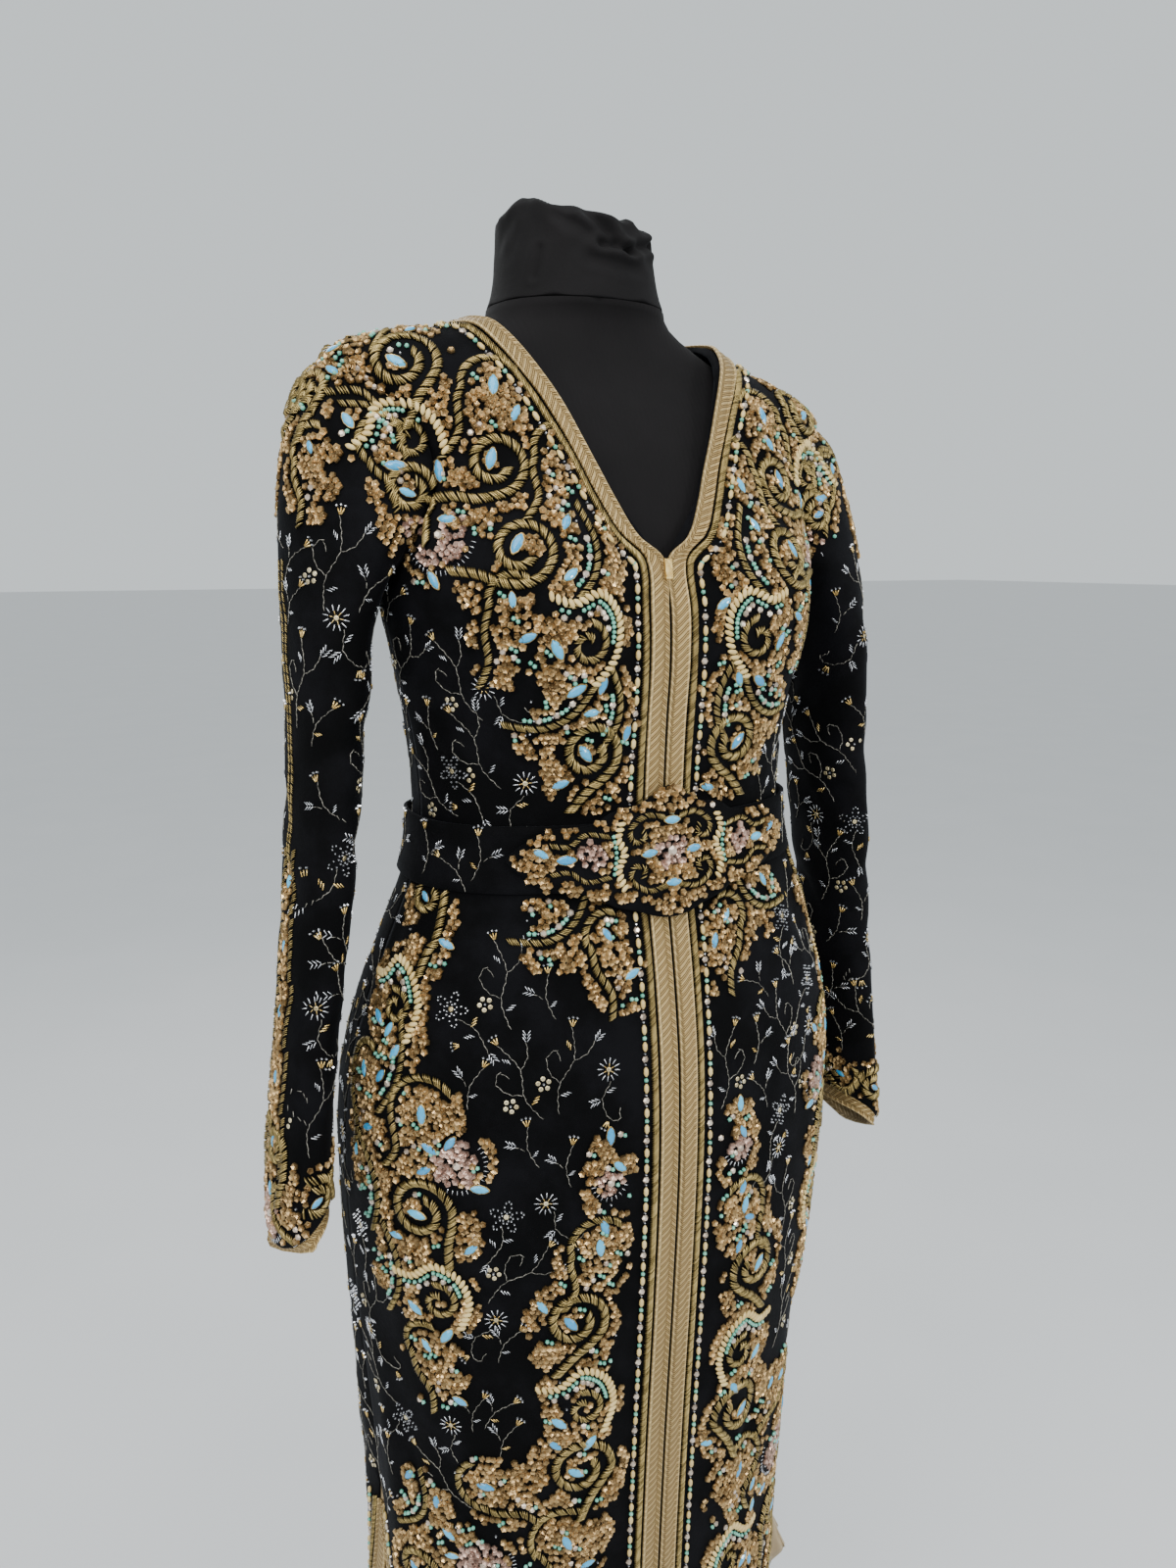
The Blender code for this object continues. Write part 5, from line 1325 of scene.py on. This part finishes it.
motif_spots = []
for x, y, z, length, width, turn, design in FRONT_MOTIFS + BACK_MOTIFS:
    for side in (-1, 1):
        point = Vector((x, y, z)) if side < 0 else left_of((x, y, z))
        spot = Spot(yoke if z > 1.24 else body, point, side, turn, outward_at(point))
        if spot.found:
            motif_spots.append((spot, length, width))
            design(spot, length, width)
for spot, length, width in motif_spots:
    dot(spot, length, width)
sew_fills()
for spot, length, width in motif_spots:
    grow(spot, length, width)

# The sleeves' applique: a cap over the shoulder, and from below the elbow a strip along the
# outside that widens to the cuff. A narrow double rope joins the two. Each row is degrees round
# from the outside, forwards positive, a height below the shoulder, and then as above.
SLEEVE_MOTIFS = [
    (44, 0.030, 24, 17, 20, scroll),
    (66, 0.074, 30, 14, 4, drop),
    (-44, 0.034, 24, 16, -20, scroll),
    (-66, 0.074, 26, 13, -4, drop),
    (4, 0.026, 20, 15, 90, leaf),
    (4, 0.345, 22, 8, 0, strap),
    (5, 0.390, 22, 10, 0, strap),
    (6, 0.435, 22, 11, 0, strap),
    (7, 0.480, 22, 13, 0, strap),
    (8, 0.525, 22, 14, 0, strap),
    (34, 0.540, 26, 14, 20, scroll),
    (-32, 0.535, 24, 12, -20, drop),
    (4, 0.578, 18, 18, 0, flower),
    (62, 0.572, 24, 15, 50, drop),
    (100, 0.556, 20, 15, 80, scroll),
    (-64, 0.566, 22, 15, -50, leaf),
    (-104, 0.552, 20, 15, -80, scroll),
    (142, 0.548, 18, 14, 90, drop),
    (-146, 0.548, 18, 14, -90, leaf),
    (180, 0.546, 18, 13, 90, leaf),
]


def sleeve_spot(side, degrees, below, turn):
    """A place on a sleeve, from its height below the shoulder and the degrees round it."""
    share = share_of((below - 0.15) / 0.42)
    inner = 0.010 if side > 0 else 0.0
    from_centre = 0.206 + 0.040 * share + inner * (1 - share)
    middle = Vector((side * from_centre, 0.006 - 0.024 * share, SLEEVE_TOPS[side] - below))
    angle = math.radians(degrees)
    out = Vector((side * math.cos(angle), -math.sin(angle), 0))
    reach = 0.022 + 0.026 * abs(math.sin(angle))
    return Spot(grounds[side], middle + out * reach, side, turn, out)


motif_spots = []
for side in (-1, 1):
    for degrees, below, length, width, turn, design in SLEEVE_MOTIFS:
        spot = sleeve_spot(side, degrees, below, turn)
        if spot.found:
            motif_spots.append((spot, length, width * (0.5 if design is strap else 1)))
            design(spot, length, width)
    for degrees in (-9, 9):
        for step in range(150):
            spot = sleeve_spot(side, degrees, 0.130 + step * THIN_ROPE_PITCH, 0)
            if spot.found:
                sew(spot, "rope", 0, 0, 0.7, 0.42, 2.2 if step % 5 == 0 else 0)
sew_fills()
for spot, length, width in motif_spots:
    grow(spot, length, width)

# The belt plate's own beadwork: a flower in the middle between four scrolls, cream waves on both
# shoulders of the shape, and stones running out to its points.
plate_ground = Ground("belt_plate", [plate], [])
plate_low, plate_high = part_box("belt_plate")
plate_z = (plate_low[2] + plate_high[2]) / 2 + 0.0005


def plate_spot(round_mm, height_mm, turn=0.0, side=1):
    """A place on the plate, from the distance round it and the height over its middle."""
    angle = round_mm / 1000 / 0.135
    out = Vector((math.sin(angle), -math.cos(angle), 0))
    point = Vector((0, 0.03, plate_z + height_mm * 0.001)) + out * 0.14
    return Spot(plate_ground, point, side, turn, out)


middle = plate_spot(0, 0)
sew(middle, "crystal", 0, 0, 0, 1.5)
for petal in range(5):
    angle = petal * PETAL_TURN + 0.32
    plate_flower = curl(8 * math.cos(angle), 7 * math.sin(angle), 5.4, 0, 360, 1.0, 12)
    fill(middle, plate_flower, "cup_rose")
for side in (-1, 1):
    near = plate_spot(side * 26, 0, 0, side)
    for flip in (1, -1):
        eye = [(-22, 24), (-8, 26), (4, 18), (2, 9), (-6, 10), (-5, 16)]
        rope(near, through(scaled(eye, 1, flip), 8), 5.6)
    for a, b, angle in paced(through([(11, 22), (14, 12), (9, 2), (14, -10), (10, -22)], 8), 3.9):
        sew(near, "cream", a, b, angle + 1.15, 0.9)
    for a, b, angle in paced(through([(17, 14), (15, 1), (17, -12)], 8), 3.6):
        sew(near, "turquoise", a, b, angle, 0.9, 2.6)
    for flip in (1, -1):
        fill(near, through(scaled([(-27, 33), (-8, 34), (6, 27), (-6, 29), (-22, 29)], 1, flip), 4))
    stone(near, -10, 0, 0.1 * side, 0.85)
    far = plate_spot(side * 62, 0, 0, side)
    fill(far, curl(-8, 2, 9.5, 0, 360, 1.0, 14), "cup_rose")
    for flip in (1, -1):
        rope(far, through(scaled([(-20, 14), (-4, 16), (8, 9), (20, 10)], 1, flip), 8), 5.0)
    stone(far, 10, 0, 0.0, 0.95)
    for flip in (1, -1):
        stone(far, 27, 5 * flip, 0.5 * flip, 0.8)
    fill(far, through([(16, 3), (26, 12), (40, 6), (46, 0), (40, -6), (26, -12), (16, -3)], 4))
top_arch = through([(-30, 34), (-16, 37), (0, 46), (16, 37), (30, 34), (14, 29), (0, 36), (-14, 29)], 4)
for flip in (1, -1):
    fill(middle, scaled(top_arch, 1, flip))
for flip in (1, -1):
    stone(middle, 0, 22 * flip, 0.0, 0.85)
sew_fills()
for step in range(-5, 6):
    grow(plate_spot(step * 17, 0), 34 - abs(step) * 3, 3, -0.25)


# Small sprigs over all the rest of the velvet: twisted grey metal stems with feathers, tulips of
# gold bugles, buds and daisies of silver beads, suns of silver bugles and rings of sequins.
def stem(spot, points):
    for index, (a, b, angle) in enumerate(paced(through(points, 6), 3.2)):
        sew(spot, "stitch", a, b, angle + (0.22 if index % 2 else -0.22), 1, 1.2)


def feather(spot, a, b, angle, size=1.0):
    """A leaf of three bugles side by side."""
    kind = chance.choice(("silver_bugle", "silver_bugle", "bugle"))
    for step in range(3):
        reach = (3.0 + step * 2.1) * size
        x, y = a + math.cos(angle) * reach, b + math.sin(angle) * reach
        sew(spot, kind, x, y, angle + 0.75, size * (1.0 - 0.1 * step), 1.0)


def tulip(spot, a, b, angle, size=1.0):
    for lean in (-0.42, 0.0, 0.42):
        x, y = math.cos(angle + lean), math.sin(angle + lean)
        sew(spot, "bugle", a + x * 3.4 * size, b + y * 3.4 * size, angle + lean, size, 0.9)
        sew(spot, "seed", a + x * 7.2 * size, b + y * 7.2 * size, 0, 1.0, 1.0)


def bud(spot, a, b, angle):
    """A small leaf of silver bugles, slanted to both sides of its middle."""
    for step in range(3):
        for lean in (0.6, -0.6):
            reach = 1.6 + step * 2.3
            x = a + reach * math.cos(angle) - math.copysign(1.5, lean) * math.sin(angle)
            y = b + reach * math.sin(angle) + math.copysign(1.5, lean) * math.cos(angle)
            sew(spot, "silver_bugle", x, y, angle + lean, 0.92, 0.9)


def daisy(spot, a, b, reach):
    sew(spot, "sequin", a, b, 0, 0.95, 2.0)
    for petal in range(5):
        angle = petal * PETAL_TURN + 0.2
        x, y = a + math.cos(angle) * reach * 0.64, b + math.sin(angle) * reach * 0.64
        for step in range(8):
            turn = step * math.pi / 4
            u, v = math.cos(turn) * reach * 0.38, math.sin(turn) * reach * 0.20
            c = x + u * math.cos(angle) - v * math.sin(angle)
            sew(spot, "seed", c, y + u * math.sin(angle) + v * math.cos(angle), 0, 0.80, 0.9)


def sun(spot, a, b, reach):
    sew(spot, "sequin", a, b, 0, 0.9, 2.0)
    for ray in range(12):
        angle = ray * math.pi / 6
        x, y = math.cos(angle), math.sin(angle)
        sew(spot, "silver_bugle", a + x * reach * 0.68, b + y * reach * 0.68, angle, reach / 10, 1.0)
        if ray % 2:
            sew(spot, "bugle", a + x * reach * 0.34, b + y * reach * 0.34, angle, 0.55, 0.8)


def ring(spot, a, b):
    for k in range(5):
        angle = k * PETAL_TURN
        sew(spot, "sequin", a + 3.9 * math.cos(angle), b + 3.9 * math.sin(angle), 0, 0.85, 2.2)
    sew(spot, "seed", a, b, 0, 1.0, 1.0)


def long_sprig(spot):
    stem(spot, [(2, -34), (5, -16), (-2, 4), (3, 24)])
    stem(spot, [(4, -14), (13, -8), (17, 2), (12, 8), (8, 3)])
    stem(spot, [(-1, 2), (-10, 8), (-14, 16)])
    tulip(spot, 3, 25, 1.45)
    bud(spot, -15, 18, 2.1)
    feather(spot, 3, -24, 2.5)
    feather(spot, 0, 10, 0.7, 0.9)
    ring(spot, 16, -16)


def daisy_sprig(spot):
    daisy(spot, 0, 12, 12)
    stem(spot, [(0, 2), (-3, -10), (2, -26)])
    feather(spot, -2, -8, 2.6)
    feather(spot, -1, -12, 0.4)
    bud(spot, 2, -28, -1.4)
    tulip(spot, 12, -10, 0.6, 0.9)


def sun_sprig(spot):
    sun(spot, 2, 14, 9.5)
    stem(spot, [(0, 4), (4, -8), (-2, -20), (-10, -22), (-10, -15)])
    bud(spot, 6, -8, -0.4)
    tulip(spot, -2, -22, -1.3)
    feather(spot, 2, -4, 2.4)


def bud_sprig(spot):
    stem(spot, [(0, -20), (2, -6), (-3, 8)])
    tulip(spot, -3, 9, 1.8)
    stem(spot, [(2, -8), (9, -2)])
    bud(spot, 9, -1, 0.6)
    feather(spot, 1, -14, 2.4, 0.8)


SPRIGS = [long_sprig, daisy_sprig, sun_sprig, bud_sprig, long_sprig]


def scatter(spots):
    """Sprigs at the places that have room, each turned a little by chance."""
    for index, (ground, point, side, outward, small) in enumerate(spots):
        turn = chance.uniform(-50, 50)
        spot = Spot(ground, point, side, turn, outward)
        if not spot.found or not is_free(spot.middle, 0.012):
            continue
        if not ground.meets_trim(spot.middle, 0.010):
            (bud_sprig if small else SPRIGS[index % len(SPRIGS)])(spot)


def aimed(ground, angle, height, side, small):
    """The place on a ground that is met from the side, as a list that is empty if there is none."""
    out = Vector((math.sin(angle), -math.cos(angle), 0))
    hit = ground.tree.ray_cast(Vector((0, 0.01, height)) + out * 0.30, -out, 0.25)
    return [] if hit[0] is None else [(ground, hit[0], side, out, small)]


places = []
row = 0
height = 0.31
while height < 1.36:
    for step in range(-38, 39):
        degrees = step * 4.7
        behind = abs(degrees) > 92
        if step % (4 if behind else 3) != row % (4 if behind else 3):
            continue
        if behind and row % 2 and height < 1.2:
            continue
        angle = math.radians(degrees + chance.uniform(-3, 3))
        jumped = height + chance.uniform(-0.008, 0.008)
        places += aimed(body, angle, jumped, 1 if degrees > 0 else -1, False)
    row += 1
    height += 0.030
scatter(places)
places = []
for row in range(52):
    for step in range(-30, 31):
        degrees = step * 6.0 + 3.0 * (row % 2)
        if abs(degrees) > 92 and (step + row) % 3:
            continue
        height = 0.30 + row * 0.020
        places += aimed(body, math.radians(degrees), height, 1 if degrees > 0 else -1, True)
scatter(places)
places = []
for side in (-1, 1):
    for row in range(20):
        for column in range(4):
            degrees = column * 90 + 45 * (row % 2) + chance.uniform(-12, 12)
            spot = sleeve_spot(side, degrees, 0.075 + row * 0.026, 0)
            if spot.found:
                places.append((grounds[side], spot.middle, side, spot.out, row % 3 == 0))
scatter(places)
places = []
for side in (-1, 1):
    for row in range(28):
        for column in range(8):
            degrees = column * 45 + 22 * (row % 2)
            spot = sleeve_spot(side, degrees, 0.05 + row * 0.019, 0)
            if spot.found:
                places.append((grounds[side], spot.middle, side, spot.out, True))
scatter(places)
belt_ground = Ground("belt", [belt], [plate])
places = []
for step in range(44):
    places += aimed(belt_ground, step * 2 * math.pi / 44, 1.041 + 0.012 * (step % 2), 1, True)
scatter(places)

# Each kind of bead on each piece of velvet is one mesh. A bead's tone is its own colour by
# chance; its height share darkens its foot and hollows with painted shade. The thread holds each
# cup a little aslant. Behind the side seams the beads are the back's.
CUP_TILT = 0.20
SIDE_SEAM_Y = 0.03
shades = np.random.default_rng(5)
sewn = {}
for (region, kind), rows in laid.items():
    for row in rows:
        word = region
        if region == "body":
            front = "front_right" if row[0].x < 0 else "front_left"
            word = "back" if row[0].y > SIDE_SEAM_Y else front
        sewn.setdefault((word, kind), []).append(row)
for (region, kind), rows in sorted(sewn.items()):
    points, triangles = BEADS[kind]
    points = points * 0.001
    count = len(rows)
    place, along, out = (np.array([row[n][:] for row in rows]) for n in range(3))
    size = np.array([row[3] for row in rows])[:, None, None]
    if kind in ("cup", "cup_rose"):
        out += shades.normal(0, CUP_TILT, out.shape)
        out /= np.linalg.norm(out, axis=1, keepdims=True)
    along -= out * (along * out).sum(axis=1, keepdims=True)
    along /= np.linalg.norm(along, axis=1, keepdims=True)
    turned = np.stack([along, np.cross(out, along), out], axis=2)
    corners = np.einsum("nij,mj->nmi", turned, points) * size + place[:, None, :]
    faces = triangles[None] + np.arange(count)[:, None, None] * len(points)
    mesh = bpy.data.meshes.new(f"{region}_{kind}_beads")
    mesh.from_pydata(corners.reshape(-1, 3), [], faces.reshape(-1, 3))
    tone = np.repeat(shades.random(count), len(points)).astype(np.float32)
    top = points[:, 2].max()
    # Each point's height up its bead, which carries the painted shade.
    deep = np.tile(points[:, 2] / top, count).astype(np.float32)
    mesh.attributes.new("tone", "FLOAT", "POINT").data.foreach_set("value", tone)
    mesh.attributes.new("deep", "FLOAT", "POINT").data.foreach_set("value", deep)
    if kind not in FACETED_BEADS:
        mesh.shade_smooth()
    mesh.materials.append(BEAD_FINISHES[kind].material)
    beads = bpy.data.objects.new(mesh.name, mesh)
    bpy.context.collection.objects.link(beads)
    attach(beads, "root")
    kind in METAL_BEADS
